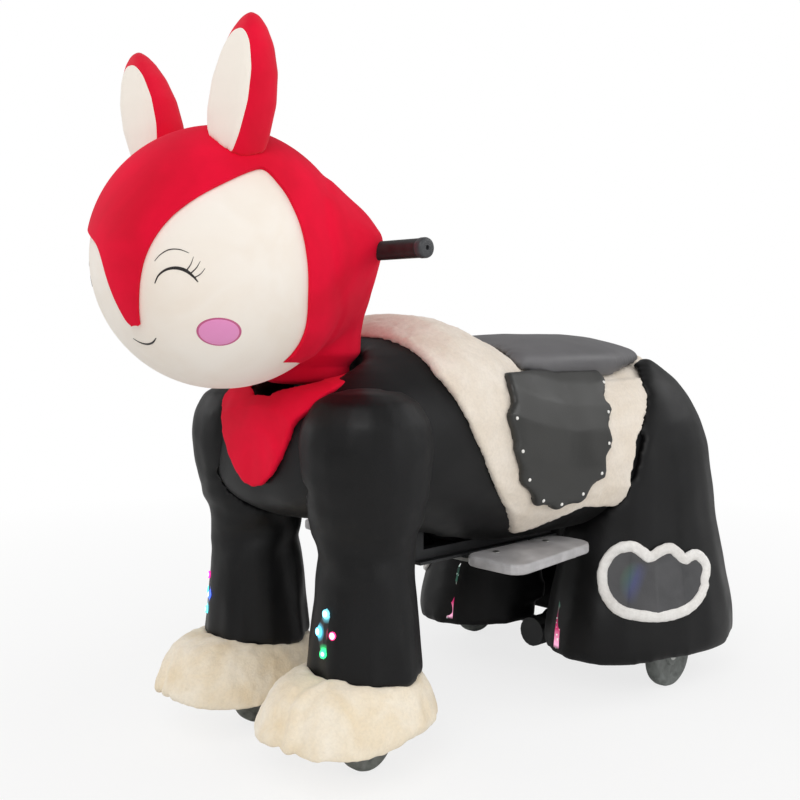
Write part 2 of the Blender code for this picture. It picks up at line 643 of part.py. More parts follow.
def chassis_members():
    """The frame's tubes and plates, each slightly sunk into the next so that they weld."""
    y = FEET_Y
    rail_z = (RAIL_FOOT_HEIGHT, RAIL_TOP_HEIGHT)
    spine_z = (SPINE_HEIGHT, SPINE_TOP_HEIGHT)
    rail_outer = RAIL_INNER + RAIL_WIDTH
    cross_z = (LEG_TUBE_TOP_HEIGHT - CROSS_TUBE_DEPTH, LEG_TUBE_TOP_HEIGHT)
    rear_cross_z = (RAIL_FOOT_HEIGHT + RAIL_WIDTH / 4, RAIL_FOOT_HEIGHT + RAIL_WIDTH / 4 + REAR_CROSS_DEPTH)
    members = [
        ("front_cross", box((-FRONT_SPREAD, FRONT_SPREAD),
                            (y - CROSS_TUBE_HALF_WIDTH, y + CROSS_TUBE_HALF_WIDTH), cross_z)),
        ("front_hoop_cross", box((-rail_outer, rail_outer),
                                 (y + FRONT_HOOP_BACK, y + FRONT_HOOP_BACK + RAIL_WIDTH), spine_z)),
        ("middle_hoop_cross", box((-rail_outer, rail_outer),
                                  (y + MIDDLE_HOOP_BACK, y + MIDDLE_HOOP_BACK + RAIL_WIDTH), spine_z)),
        ("rear_hoop_cross", box((-rail_outer, rail_outer),
                                (y + REAR_HOOP_BACK, y + REAR_HOOP_BACK + RAIL_WIDTH), spine_z)),
        ("rear_cross", box((-DROP_PLATE_SPREAD, DROP_PLATE_SPREAD),
                           (REAR_AXLE_Y - REAR_CROSS_HALF_WIDTH, REAR_AXLE_Y + REAR_CROSS_HALF_WIDTH),
                           rear_cross_z)),
    ]
    for side_name, side in SIDES:
        rail_x = sorted((side * RAIL_INNER, side * rail_outer))
        for label, start, foot in (("front_hoop_leg_", FRONT_HOOP_BACK, RAIL_FOOT_HEIGHT),
                                   ("middle_hoop_leg_", MIDDLE_HOOP_BACK, RAIL_FOOT_HEIGHT),
                                   ("rear_hoop_leg_", REAR_HOOP_BACK, rear_cross_z[0] + RAIL_WIDTH / 4)):
            members.append((label + side_name, box(rail_x, (y + start, y + start + RAIL_WIDTH),
                                                   (foot, SPINE_HEIGHT + SPINE_DEPTH / 2))))
        members.append(("belly_rail_" + side_name,
                        box(rail_x, (y + FRONT_HOOP_BACK + RAIL_WIDTH / 4,
                                     y + MIDDLE_HOOP_BACK + RAIL_WIDTH * 3 / 4),
                            (rail_z[0], rail_z[1] - RAIL_WIDTH / 8))))
        members.append(("front_strut_" + side_name,
                        box(rail_x, (y, y + FRONT_HOOP_BACK + RAIL_WIDTH / 2),
                            (cross_z[0] + CROSS_TUBE_DEPTH / 6, cross_z[1] - CROSS_TUBE_DEPTH / 6))))
        members.append(("leg_tube_" + side_name,
                        rod((side * FRONT_SPREAD, y, LEG_TUBE_FOOT_HEIGHT),
                            (side * FRONT_SPREAD, y, LEG_TUBE_TOP_HEIGHT), LEG_TUBE_RADIUS)))
        plate_x = sorted((side * (DROP_PLATE_SPREAD - DROP_PLATE_THICKNESS / 2),
                          side * (DROP_PLATE_SPREAD + DROP_PLATE_THICKNESS / 2)))
        members.append(("drop_plate_" + side_name,
                        box(plate_x, (REAR_AXLE_Y - DROP_PLATE_HALF_DEPTH, REAR_AXLE_Y + DROP_PLATE_HALF_DEPTH),
                            (REAR_WHEEL_RADIUS - BEARING_RADIUS * 1.5, rear_cross_z[1] - RAIL_WIDTH / 10))))
    members.append(("head_tube", rod((0, y, HEAD_TUBE_FOOT_HEIGHT), (0, y, HEAD_TUBE_TOP_HEIGHT),
                                     HEAD_TUBE_RADIUS)))
    for number, back in enumerate(SEAT_POST_PLACES):
        members.append((f"seat_post_{number}",
                        box((-SEAT_POST_HALF_WIDTH, SEAT_POST_HALF_WIDTH),
                            (y + back, y + back + 2 * SEAT_POST_HALF_WIDTH),
                            (SPINE_HEIGHT + SPINE_DEPTH / 2, BOARD_HEIGHT - SEAM_GAP))))
    return members


def build_chassis():
    spine = box((-SPINE_HALF_WIDTH, SPINE_HALF_WIDTH), (FEET_Y, FEET_Y + REAR_HOOP_BACK + RAIL_WIDTH / 2),
                (SPINE_HEIGHT + SPINE_DEPTH / 8, SPINE_HEIGHT + SPINE_DEPTH * 7 / 8))
    frame = piece("chassis_frame", spine, "black_steel")
    join(frame, *(guide("weld_" + name, bm) for name, bm in chassis_members()))
    bush_bore = COLUMN_RADIUS + BUSH_WALL + SEAM_GAP
    cut(frame, guide("head_tube_bore", rod((0, FEET_Y, HEAD_TUBE_FOOT_HEIGHT - OVERRUN),
                                           (0, FEET_Y, HEAD_TUBE_TOP_HEIGHT + OVERRUN), bush_bore)))
    for side_name, side in SIDES:
        x = side * FRONT_SPREAD
        cut(frame, guide("leg_tube_bore_" + side_name,
                         rod((x, FEET_Y, LEG_TUBE_FOOT_HEIGHT - OVERRUN),
                             (x, FEET_Y, LEG_TUBE_TOP_HEIGHT + OVERRUN), STEM_RADIUS + BUSH_WALL + SEAM_GAP)))
        cut(frame, guide("bearing_seat_" + side_name,
                         rod((side * (DROP_PLATE_SPREAD - OVERRUN), REAR_AXLE_Y, REAR_WHEEL_RADIUS),
                             (side * (DROP_PLATE_SPREAD + OVERRUN), REAR_AXLE_Y, REAR_WHEEL_RADIUS),
                             BEARING_RADIUS + SEAM_GAP)))


def bush(name, x, foot, flange_up):
    """A flanged nylon sleeve pressed into a tube's end."""
    outer = COLUMN_RADIUS + BUSH_WALL
    flange = outer + BUSH_FLANGE
    profile = [(0, flange), (BUSH_FLANGE, flange), (BUSH_FLANGE + SEAM_GAP / 4, outer), (BUSH_LENGTH, outer)]
    if flange_up:
        profile = [(-d, r) for d, r in profile]
    sleeve = piece(name, turned(profile, (x, FEET_Y, foot)), "black_plastic")
    bore = guide(name + "_bore", rod((x, FEET_Y, foot - BUSH_LENGTH - OVERRUN),
                                     (x, FEET_Y, foot + BUSH_LENGTH + OVERRUN), COLUMN_RADIUS + RUNNING_GAP))
    return cut(sleeve, bore)


def build_bushes():
    bush("column_bush_lower", 0, HEAD_TUBE_FOOT_HEIGHT - BUSH_FLANGE - SEAM_GAP, False)
    bush("column_bush_upper", 0, HEAD_TUBE_TOP_HEIGHT + BUSH_FLANGE + SEAM_GAP, True)
    for side_name, side in SIDES:
        bush("stem_bush_" + side_name, side * FRONT_SPREAD, LEG_TUBE_FOOT_HEIGHT - BUSH_FLANGE - SEAM_GAP,
             False)


def build_belly():
    y0 = FEET_Y + BELLY_PLATE_FRONT
    plate = piece("belly_plate",
                  box((-BELLY_PLATE_HALF_WIDTH, BELLY_PLATE_HALF_WIDTH), (y0, y0 + BELLY_PLATE_LENGTH),
                      (BELLY_PLATE_FOOT_HEIGHT, BELLY_PLATE_TOP_HEIGHT)), "black_plastic")
    for number in range(SPEAKER_HOLE_COUNT):
        turn = 2 * pi * number / SPEAKER_HOLE_COUNT
        x = SPEAKER_HOLE_RING_RADIUS * cos(turn)
        y = FEET_Y + SPEAKER_BACK + SPEAKER_HOLE_RING_RADIUS * sin(turn)
        cut(plate, guide(f"speaker_hole_{number}",
                         rod((x, y, BELLY_PLATE_FOOT_HEIGHT - OVERRUN), (x, y, BELLY_PLATE_TOP_HEIGHT + OVERRUN),
                             SPEAKER_HOLE_RADIUS, PLATE_HOLE_SEGMENTS)))
    socket_y = FEET_Y + SOCKET_BACK
    cut(plate, guide("socket_hole", rod((SOCKET_SIDE, socket_y, BELLY_PLATE_FOOT_HEIGHT - OVERRUN),
                                        (SOCKET_SIDE, socket_y, BELLY_PLATE_TOP_HEIGHT + OVERRUN),
                                        SOCKET_RADIUS + SEAM_GAP)))
    reach = ROCKER_HALF_LENGTH + RUNNING_GAP
    wide = ROCKER_HALF_WIDTH + RUNNING_GAP
    cut(plate, guide("rocker_hole", box((ROCKER_SIDE - wide, ROCKER_SIDE + wide),
                                        (FEET_Y + ROCKER_BACK - reach, FEET_Y + ROCKER_BACK + reach),
                                        (BELLY_PLATE_FOOT_HEIGHT - OVERRUN, BELLY_PLATE_TOP_HEIGHT + OVERRUN))))

    magnet = SPEAKER_MAGNET_RADIUS
    piece("speaker", turned(((0, SPEAKER_RADIUS), (SPEAKER_DEPTH / 6, SPEAKER_RADIUS),
                             (SPEAKER_DEPTH * 2 / 3, magnet), (SPEAKER_DEPTH, magnet)),
                            (0, FEET_Y + SPEAKER_BACK, RAIL_FOOT_HEIGHT)), "black_plastic")
    flange = SOCKET_DEPTH / 8
    socket = piece("charge_socket",
                   turned(((-flange, SOCKET_FLANGE_RADIUS), (-SEAM_GAP, SOCKET_FLANGE_RADIUS),
                           (0, SOCKET_RADIUS), (SOCKET_DEPTH, SOCKET_RADIUS)),
                          (SOCKET_SIDE, socket_y, BELLY_PLATE_FOOT_HEIGHT)), "black_plastic")
    cut(socket, guide("socket_bore", rod((SOCKET_SIDE, socket_y, BELLY_PLATE_FOOT_HEIGHT - OVERRUN),
                                         (SOCKET_SIDE, socket_y, BELLY_PLATE_FOOT_HEIGHT + SOCKET_DEPTH / 2),
                                         SOCKET_BORE_RADIUS)))

    battery_y = (FEET_Y + BATTERY_FRONT, FEET_Y + BATTERY_FRONT + BATTERY_LENGTH)
    battery_z = (RAIL_FOOT_HEIGHT, RAIL_FOOT_HEIGHT + BATTERY_HEIGHT)
    piece("battery", box((-BATTERY_HALF_WIDTH, BATTERY_HALF_WIDTH), battery_y, battery_z), "black_plastic")
    strap_y = (FEET_Y + STRAP_FRONT, FEET_Y + STRAP_FRONT + STRAP_WIDTH)
    outer = BATTERY_HALF_WIDTH + SEAM_GAP + STRAP_THICKNESS
    strap = piece("battery_strap", box((-outer, outer), strap_y,
                                       (RAIL_FOOT_HEIGHT, battery_z[1] + SEAM_GAP + STRAP_THICKNESS)), "webbing")
    inner = BATTERY_HALF_WIDTH + SEAM_GAP
    cut(strap, guide("strap_inside", box((-inner, inner), (strap_y[0] - OVERRUN, strap_y[1] + OVERRUN),
                                         (RAIL_FOOT_HEIGHT - OVERRUN, battery_z[1] + SEAM_GAP))))
    controller_z = SPINE_HEIGHT - SEAM_GAP + SPINE_DEPTH / 8
    piece("controller_box", box((-CONTROLLER_HALF_WIDTH, CONTROLLER_HALF_WIDTH),
                                (FEET_Y + CONTROLLER_FRONT, FEET_Y + CONTROLLER_FRONT + CONTROLLER_LENGTH),
                                (controller_z - CONTROLLER_HEIGHT, controller_z)), "grey_plastic")
    board_y = FEET_Y + BOARD_FRONT
    piece("seat_board", box((-BOARD_HALF_WIDTH, BOARD_HALF_WIDTH), (board_y, board_y + BOARD_LENGTH),
                            (BOARD_HEIGHT, BOARD_HEIGHT + BOARD_THICKNESS)), "plywood")


def build_rocker():
    """The power switch's rocker, on its pin under the belly plate."""
    place = (ROCKER_SIDE, FEET_Y + ROCKER_BACK, BELLY_PLATE_FOOT_HEIGHT + BELLY_PLATE_THICKNESS / 2)
    carrier = body("rocker_axis", place)
    z = place[2]
    outline = [(-ROCKER_HALF_LENGTH, z - ROCKER_PROUD * 1.6), (-ROCKER_HALF_LENGTH / 2, z - ROCKER_PROUD * 1.3),
               (0, z - ROCKER_PROUD), (ROCKER_HALF_LENGTH / 2, z - ROCKER_PROUD * 1.3),
               (ROCKER_HALF_LENGTH, z - ROCKER_PROUD * 1.6), (ROCKER_HALF_LENGTH * 0.75, z + ROCKER_PROUD),
               (ROCKER_HALF_LENGTH * 0.3, z + ROCKER_DEPTH), (-ROCKER_HALF_LENGTH * 0.3, z + ROCKER_DEPTH),
               (-ROCKER_HALF_LENGTH * 0.75, z + ROCKER_PROUD)]
    piece("power_switch", upright_slab(outline, place[:2], 90, (-ROCKER_HALF_WIDTH, ROCKER_HALF_WIDTH)),
          "black_plastic", carrier)


# Drive

def wheel(name, side, spread, y, radius, width, bore, carrier):
    """A cast wheel with a recessed web; a flat facet of its tyre stands on the floor."""
    x = side * spread - width / 2
    profile = [(along * width, radius * out) for along, out in WHEEL_SHARES]
    hub = piece(name, turned(profile, (x, y, radius), "X", WHEEL_SEGMENTS, True), "grey_wheel", carrier)
    hole = guide(name + "_bore", rod((x - OVERRUN, y, radius), (x + width + OVERRUN, y, radius), bore))
    return cut(hub, hole)


def build_drive():
    place = (0, REAR_AXLE_Y, REAR_WHEEL_RADIUS)
    carrier = body("rear_axle_line", place)
    reach = REAR_WHEEL_SPREAD + REAR_WHEEL_WIDTH / 2
    piece("rear_axle", rod((-reach, REAR_AXLE_Y, REAR_WHEEL_RADIUS), (reach, REAR_AXLE_Y, REAR_WHEEL_RADIUS),
                           REAR_AXLE_RADIUS), "zinc_steel", carrier)
    for side_name, side in SIDES:
        wheel("rear_wheel_" + side_name, side, REAR_WHEEL_SPREAD, REAR_AXLE_Y, REAR_WHEEL_RADIUS,
              REAR_WHEEL_WIDTH, REAR_AXLE_RADIUS + SEAM_GAP, carrier)
        x = side * DROP_PLATE_SPREAD - BEARING_WIDTH / 2
        bearing = piece("axle_bearing_" + side_name,
                        rod((x, REAR_AXLE_Y, REAR_WHEEL_RADIUS),
                            (x + BEARING_WIDTH, REAR_AXLE_Y, REAR_WHEEL_RADIUS), BEARING_RADIUS), "zinc_steel")
        cut(bearing, guide("bearing_bore_" + side_name,
                           rod((x - OVERRUN, REAR_AXLE_Y, REAR_WHEEL_RADIUS),
                               (x + BEARING_WIDTH + OVERRUN, REAR_AXLE_Y, REAR_WHEEL_RADIUS),
                               REAR_AXLE_RADIUS + RUNNING_GAP)))
    gearbox = piece("drive_motor",
                    rod((-GEARBOX_HALF_WIDTH, REAR_AXLE_Y, REAR_WHEEL_RADIUS),
                        (GEARBOX_HALF_WIDTH, REAR_AXLE_Y, REAR_WHEEL_RADIUS), GEARBOX_RADIUS, WHEEL_SEGMENTS),
                    "black_steel")
    can_z = REAR_WHEEL_RADIUS + GEARBOX_RADIUS / 3
    join(gearbox, guide("motor_can", rod((0, REAR_AXLE_Y - GEARBOX_RADIUS - MOTOR_LENGTH, can_z),
                                         (0, REAR_AXLE_Y, can_z), MOTOR_RADIUS, WHEEL_SEGMENTS)))
    arm_top = RAIL_FOOT_HEIGHT + RAIL_WIDTH / 4 - SEAM_GAP
    arm_y = (REAR_AXLE_Y - TORQUE_ARM_DEPTH / 2, REAR_AXLE_Y + TORQUE_ARM_DEPTH / 2)
    join(gearbox, guide("torque_arm", box((-TORQUE_ARM_WIDTH / 2, TORQUE_ARM_WIDTH / 2), arm_y,
                                          (REAR_WHEEL_RADIUS + GEARBOX_RADIUS / 2, arm_top))))
    cut(gearbox, guide("gearbox_bore", rod((-GEARBOX_HALF_WIDTH - OVERRUN, REAR_AXLE_Y, REAR_WHEEL_RADIUS),
                                           (GEARBOX_HALF_WIDTH + OVERRUN, REAR_AXLE_Y, REAR_WHEEL_RADIUS),
                                           REAR_AXLE_RADIUS + RUNNING_GAP)))


# Steering

def steering_arm(x, foot):
    """A flat arm from a stem back to its pin's eye."""
    arm = box((x - ARM_EYE_RADIUS * 0.7, x + ARM_EYE_RADIUS * 0.7), (FEET_Y, FEET_Y + ARM_LENGTH),
              (foot, foot + ARM_THICKNESS))
    eye = rod((x, FEET_Y + ARM_LENGTH, foot + ARM_THICKNESS / 10),
              (x, FEET_Y + ARM_LENGTH, foot + ARM_THICKNESS * 9 / 10), ARM_EYE_RADIUS)
    pin = rod((x, FEET_Y + ARM_LENGTH, foot + ARM_THICKNESS / 2),
              (x, FEET_Y + ARM_LENGTH, foot + ARM_THICKNESS + TIE_ROD_THICKNESS + 2 * RUNNING_GAP), PIN_RADIUS)
    return arm, eye, pin


def build_steering():
    steering = body("steering_axis", (0, FEET_Y, COLUMN_FOOT_HEIGHT))
    y = FEET_Y

    column = piece("steering_column", rod((0, y, COLUMN_FOOT_HEIGHT), (0, y, BAR_HEIGHT), COLUMN_RADIUS),
                   "black_steel", steering)
    arm, eye, pin = steering_arm(0, ARM_HEIGHT)
    clamp = rod((-CLAMP_HALF_WIDTH, y, BAR_HEIGHT), (CLAMP_HALF_WIDTH, y, BAR_HEIGHT), CLAMP_RADIUS)
    board_back = y - HEAD_BOARD_FORWARD
    bracket = box((-BRACKET_HALF_WIDTH, BRACKET_HALF_WIDTH), (board_back + SEAM_GAP, y),
                  (BRACKET_FOOT_HEIGHT, BRACKET_TOP_HEIGHT))
    join(column, guide("pitman_arm", arm), guide("pitman_eye", eye), guide("pitman_pin", pin),
         guide("bar_clamp", clamp), guide("board_bracket", bracket))
    cut(column, guide("clamp_bore", rod((-CLAMP_HALF_WIDTH - OVERRUN, y, BAR_HEIGHT),
                                        (CLAMP_HALF_WIDTH + OVERRUN, y, BAR_HEIGHT), BAR_RADIUS + SEAM_GAP)))

    piece("handlebar", rod((-BAR_HALF_LENGTH, y, BAR_HEIGHT), (BAR_HALF_LENGTH, y, BAR_HEIGHT), BAR_RADIUS),
          "black_steel", steering)
    build_grips(steering)
    build_button(steering)
    build_head(steering, board_back)
    build_linkage(steering)


def build_grips(steering):
    end = BAR_HALF_LENGTH + SEAM_GAP + GRIP_END_WALL
    for side_name, side in SIDES:
        profile = ((GRIP_START, GRIP_RADIUS * 1.1), (GRIP_START + GRIP_FLARE_LENGTH / 4, GRIP_RADIUS * 1.1),
                   (GRIP_START + GRIP_FLARE_LENGTH / 2, GRIP_RADIUS), (end - GRIP_FLARE_LENGTH, GRIP_RADIUS),
                   (end - GRIP_FLARE_LENGTH * 0.7, GRIP_FLARE_RADIUS),
                   (end - GRIP_FLARE_LENGTH * 0.15, GRIP_FLARE_RADIUS), (end, GRIP_FLARE_RADIUS * 0.88))
        grip = piece("grip_" + side_name,
                     on_side(turned(profile, (0, FEET_Y, BAR_HEIGHT), "X", GRIP_SEGMENTS), side),
                     "black_rubber", steering)
        cut(grip, guide("grip_bore_" + side_name,
                        on_side(rod((GRIP_START - OVERRUN, FEET_Y, BAR_HEIGHT),
                                    (BAR_HALF_LENGTH + SEAM_GAP, FEET_Y, BAR_HEIGHT),
                                    BAR_RADIUS + SEAM_GAP), side)))
        cut(grip, guide("grip_vent_" + side_name,
                        on_side(rod((BAR_HALF_LENGTH, FEET_Y, BAR_HEIGHT), (end + OVERRUN, FEET_Y, BAR_HEIGHT),
                                    GRIP_VENT_RADIUS, PLATE_HOLE_SEGMENTS), side)))


def build_button(steering):
    """The go button's housing round the bar beside the right grip, and the button that sinks into it."""
    outer = -(GRIP_START - SEAM_GAP)
    inner = outer + SWITCH_LENGTH
    middle = (outer + inner) / 2
    housing = piece("switch_housing", rod((inner, FEET_Y, BAR_HEIGHT), (outer, FEET_Y, BAR_HEIGHT),
                                          SWITCH_RADIUS, GRIP_SEGMENTS), "black_plastic", steering)
    face = BAR_HEIGHT + SWITCH_RADIUS
    cut(housing, guide("housing_bore", rod((inner + OVERRUN, FEET_Y, BAR_HEIGHT),
                                           (outer - OVERRUN, FEET_Y, BAR_HEIGHT), BAR_RADIUS + SEAM_GAP)),
        guide("button_well", rod((middle, FEET_Y, face + BUTTON_PROUD - BUTTON_LENGTH - BUTTON_TRAVEL
                                  - RUNNING_GAP), (middle, FEET_Y, face + OVERRUN), BUTTON_RADIUS + RUNNING_GAP)))
    foot = face + BUTTON_PROUD - BUTTON_LENGTH
    slide = body("go_button_axis", (middle, FEET_Y, foot), steering)
    piece("go_button", turned(((0, BUTTON_RADIUS), (BUTTON_LENGTH * 0.85, BUTTON_RADIUS),
                               (BUTTON_LENGTH, BUTTON_RADIUS * 0.8)), (middle, FEET_Y, foot)),
          "green_plastic", slide)


def build_linkage(steering):
    y = FEET_Y
    rod_z = ARM_HEIGHT + ARM_THICKNESS + RUNNING_GAP
    slide = body("tie_rod_axis", (0, y + ARM_LENGTH, rod_z), steering)
    reach = FRONT_SPREAD
    depth = TIE_ROD_HALF_DEPTH
    bar = piece("tie_rod", box((-reach, reach), (y + ARM_LENGTH - depth, y + ARM_LENGTH + depth),
                               (rod_z, rod_z + TIE_ROD_THICKNESS)), "zinc_steel", slide)
    for label, x, clearance in (("middle", 0, RUNNING_GAP), ("left", reach, OPEN_PIVOT_CLEARANCE),
                                ("right", -reach, OPEN_PIVOT_CLEARANCE)):
        join(bar, guide("rod_eye_" + label, rod((x, y + ARM_LENGTH, rod_z + TIE_ROD_THICKNESS / 10),
                                                (x, y + ARM_LENGTH, rod_z + TIE_ROD_THICKNESS * 9 / 10),
                                                ARM_EYE_RADIUS)))
        cut(bar, guide("rod_bore_" + label, rod((x, y + ARM_LENGTH, rod_z - OVERRUN),
                                                (x, y + ARM_LENGTH, rod_z + OVERRUN),
                                                PIN_RADIUS + clearance)))

    crown_top = FORK_CROWN_HEIGHT + FORK_CROWN_THICKNESS
    blade_inner = FRONT_WHEEL_WIDTH / 2 + FRONT_WHEEL_SIDE_GAP
    blade_outer = blade_inner + FORK_BLADE_THICKNESS
    for side_name, side in SIDES:
        x = side * FRONT_SPREAD
        stem = body("fork_axis_" + side_name, (x, y, FORK_CROWN_HEIGHT))
        fork = piece("fork_" + side_name, rod((x, y, FORK_CROWN_HEIGHT + FORK_CROWN_THICKNESS / 2),
                                              (x, y, ARM_HEIGHT + ARM_THICKNESS * 0.9), STEM_RADIUS),
                     "zinc_steel", stem)
        crown = box((x - blade_outer, x + blade_outer), (y - STEM_RADIUS * 1.3, y + STEM_RADIUS * 1.3),
                    (FORK_CROWN_HEIGHT, crown_top))
        join(fork, guide("fork_crown_" + side_name, crown))
        for number, (low, high) in enumerate(((-blade_outer, -blade_inner), (blade_inner, blade_outer))):
            join(fork, guide(f"fork_blade_{side_name}_{number}",
                             box((x + low, x + high), (y - FORK_BLADE_HALF_DEPTH, y + FORK_BLADE_HALF_DEPTH),
                                 (FORK_BLADE_FOOT_HEIGHT, FORK_CROWN_HEIGHT + FORK_CROWN_THICKNESS / 2))))
        join(fork, guide("fork_pin_" + side_name,
                         rod((x - blade_outer - FORK_BLADE_THICKNESS, y, FRONT_WHEEL_RADIUS),
                             (x + blade_outer + FORK_BLADE_THICKNESS, y, FRONT_WHEEL_RADIUS),
                             FRONT_AXLE_RADIUS)))
        arm, eye, pin = steering_arm(x, ARM_HEIGHT)
        join(fork, guide("stem_arm_" + side_name, arm), guide("stem_eye_" + side_name, eye),
             guide("stem_pin_" + side_name, pin))
        spin = body("front_wheel_axis_" + side_name, (x, y, FRONT_WHEEL_RADIUS), stem)
        wheel("front_wheel_" + side_name, side, FRONT_SPREAD, y, FRONT_WHEEL_RADIUS, FRONT_WHEEL_WIDTH,
              FRONT_AXLE_RADIUS + RUNNING_GAP, spin)


# Head, hood and ears

def build_head(steering, board_back):
    board_front = board_back - HEAD_BOARD_THICKNESS
    piece("head_board", rod((0, board_back, HEAD_HEIGHT), (0, board_front, HEAD_HEIGHT),
                            HEAD_BOARD_RADIUS, BODY_SEGMENTS), "plywood", steering)
    head = piece("head", head_form(), "cream_plush", steering)
    behind = (board_front - SEAM_GAP, HEAD_Y + HEAD_RADIUS + OVERRUN)
    wide = (-HEAD_RADIUS - OVERRUN, HEAD_RADIUS + OVERRUN)
    cut(head, guide("head_back_plane", box(wide, behind, (HEAD_HEIGHT - HEAD_RADIUS - OVERRUN,
                                                          HEAD_HEIGHT + HEAD_RADIUS + OVERRUN))))

    hood = piece("hood", cowl_form(), "red_plush", steering)
    join(hood, guide("hood_crown", head_form(HOOD_THICKNESS)))
    cut(hood, guide("hood_inside", head_form(SEAM_GAP)))
    for side_name, side in SIDES:
        outline = [(across * HEAD_RADIUS, HEAD_HEIGHT + up * HEAD_RADIUS) for across, up in FACE_SHARES]
        opening = upright_slab(outline, (0, HEAD_Y), FACE_AZIMUTH, (0, HEAD_RADIUS + OVERRUN))
        cut(hood, guide("face_opening_" + side_name, on_side(opening, side)))
    cut(hood, guide("grip_holes", rod((-COWL_HALF_WIDTH - OVERRUN, FEET_Y, BAR_HEIGHT),
                                      (COWL_HALF_WIDTH + OVERRUN, FEET_Y, BAR_HEIGHT),
                                      SWITCH_RADIUS + SEAM_GAP)),
        guide("switch_room", rod((-GRIP_START - RUNNING_GAP, FEET_Y, BAR_HEIGHT),
                                 (-GRIP_START + SWITCH_LENGTH + RUNNING_GAP, FEET_Y, BAR_HEIGHT),
                                 SWITCH_RADIUS + BUTTON_PROUD + PLUSH_CLEARANCE)),
        guide("column_hole", rod((0, FEET_Y, NECK_FOOT_HEIGHT - OVERRUN), (0, FEET_Y, HEAD_HEIGHT),
                                 COLUMN_RADIUS + PLUSH_CLEARANCE)),
        guide("head_tube_room", rod((0, FEET_Y, NECK_FOOT_HEIGHT - OVERRUN),
                                    (0, FEET_Y, HEAD_TUBE_TOP_HEIGHT + 2 * BUSH_FLANGE),
                                    HEAD_TUBE_RADIUS + PLUSH_CLEARANCE)),
        guide("clamp_room", rod((-CLAMP_HALF_WIDTH - PLUSH_CLEARANCE, FEET_Y, BAR_HEIGHT),
                                (CLAMP_HALF_WIDTH + PLUSH_CLEARANCE, FEET_Y, BAR_HEIGHT),
                                CLAMP_RADIUS + PLUSH_CLEARANCE)),
        guide("bracket_room", box((-BRACKET_HALF_WIDTH - PLUSH_CLEARANCE, BRACKET_HALF_WIDTH + PLUSH_CLEARANCE),
                                  (board_front, FEET_Y + PLUSH_CLEARANCE),
                                  (BRACKET_FOOT_HEIGHT - PLUSH_CLEARANCE, BRACKET_TOP_HEIGHT + PLUSH_CLEARANCE))),
        guide("board_room", rod((0, board_back + SEAM_GAP, HEAD_HEIGHT), (0, board_front - SEAM_GAP, HEAD_HEIGHT),
                                HEAD_BOARD_RADIUS + SEAM_GAP, BODY_SEGMENTS)))

    # along the ear, half width, half thickness
    ear_shares = ((0.00, 0.66, 0.80), (0.20, 0.86, 0.96), (0.40, 1.00, 1.00), (0.60, 0.96, 0.92),
                  (0.78, 0.74, 0.74), (0.90, 0.47, 0.52), (0.97, 0.25, 0.30), (1.00, 0.08, 0.10))
    for side_name, side in SIDES:
        foot_z = EAR_TIP_HEIGHT - EAR_LENGTH
        rings = [oval(EAR_SPREAD + (EAR_TIP_SPREAD - EAR_SPREAD) * up,
                      FEET_Y - EAR_FORWARD - (EAR_TIP_FORWARD - EAR_FORWARD) * up,
                      foot_z + EAR_LENGTH * up, EAR_WIDTH / 2 * wide, EAR_THICKNESS / 2 * thick,
                      EAR_SEGMENTS, EAR_ROUNDNESS_SHARE)
                 for up, wide, thick in ear_shares]
        ear = piece("ear_" + side_name, on_side(loft(rings), side), "red_plush", steering)
        cut(ear, guide("ear_seat_" + side_name, head_form(HOOD_THICKNESS + SEAM_GAP)))


# Torso and its coverings

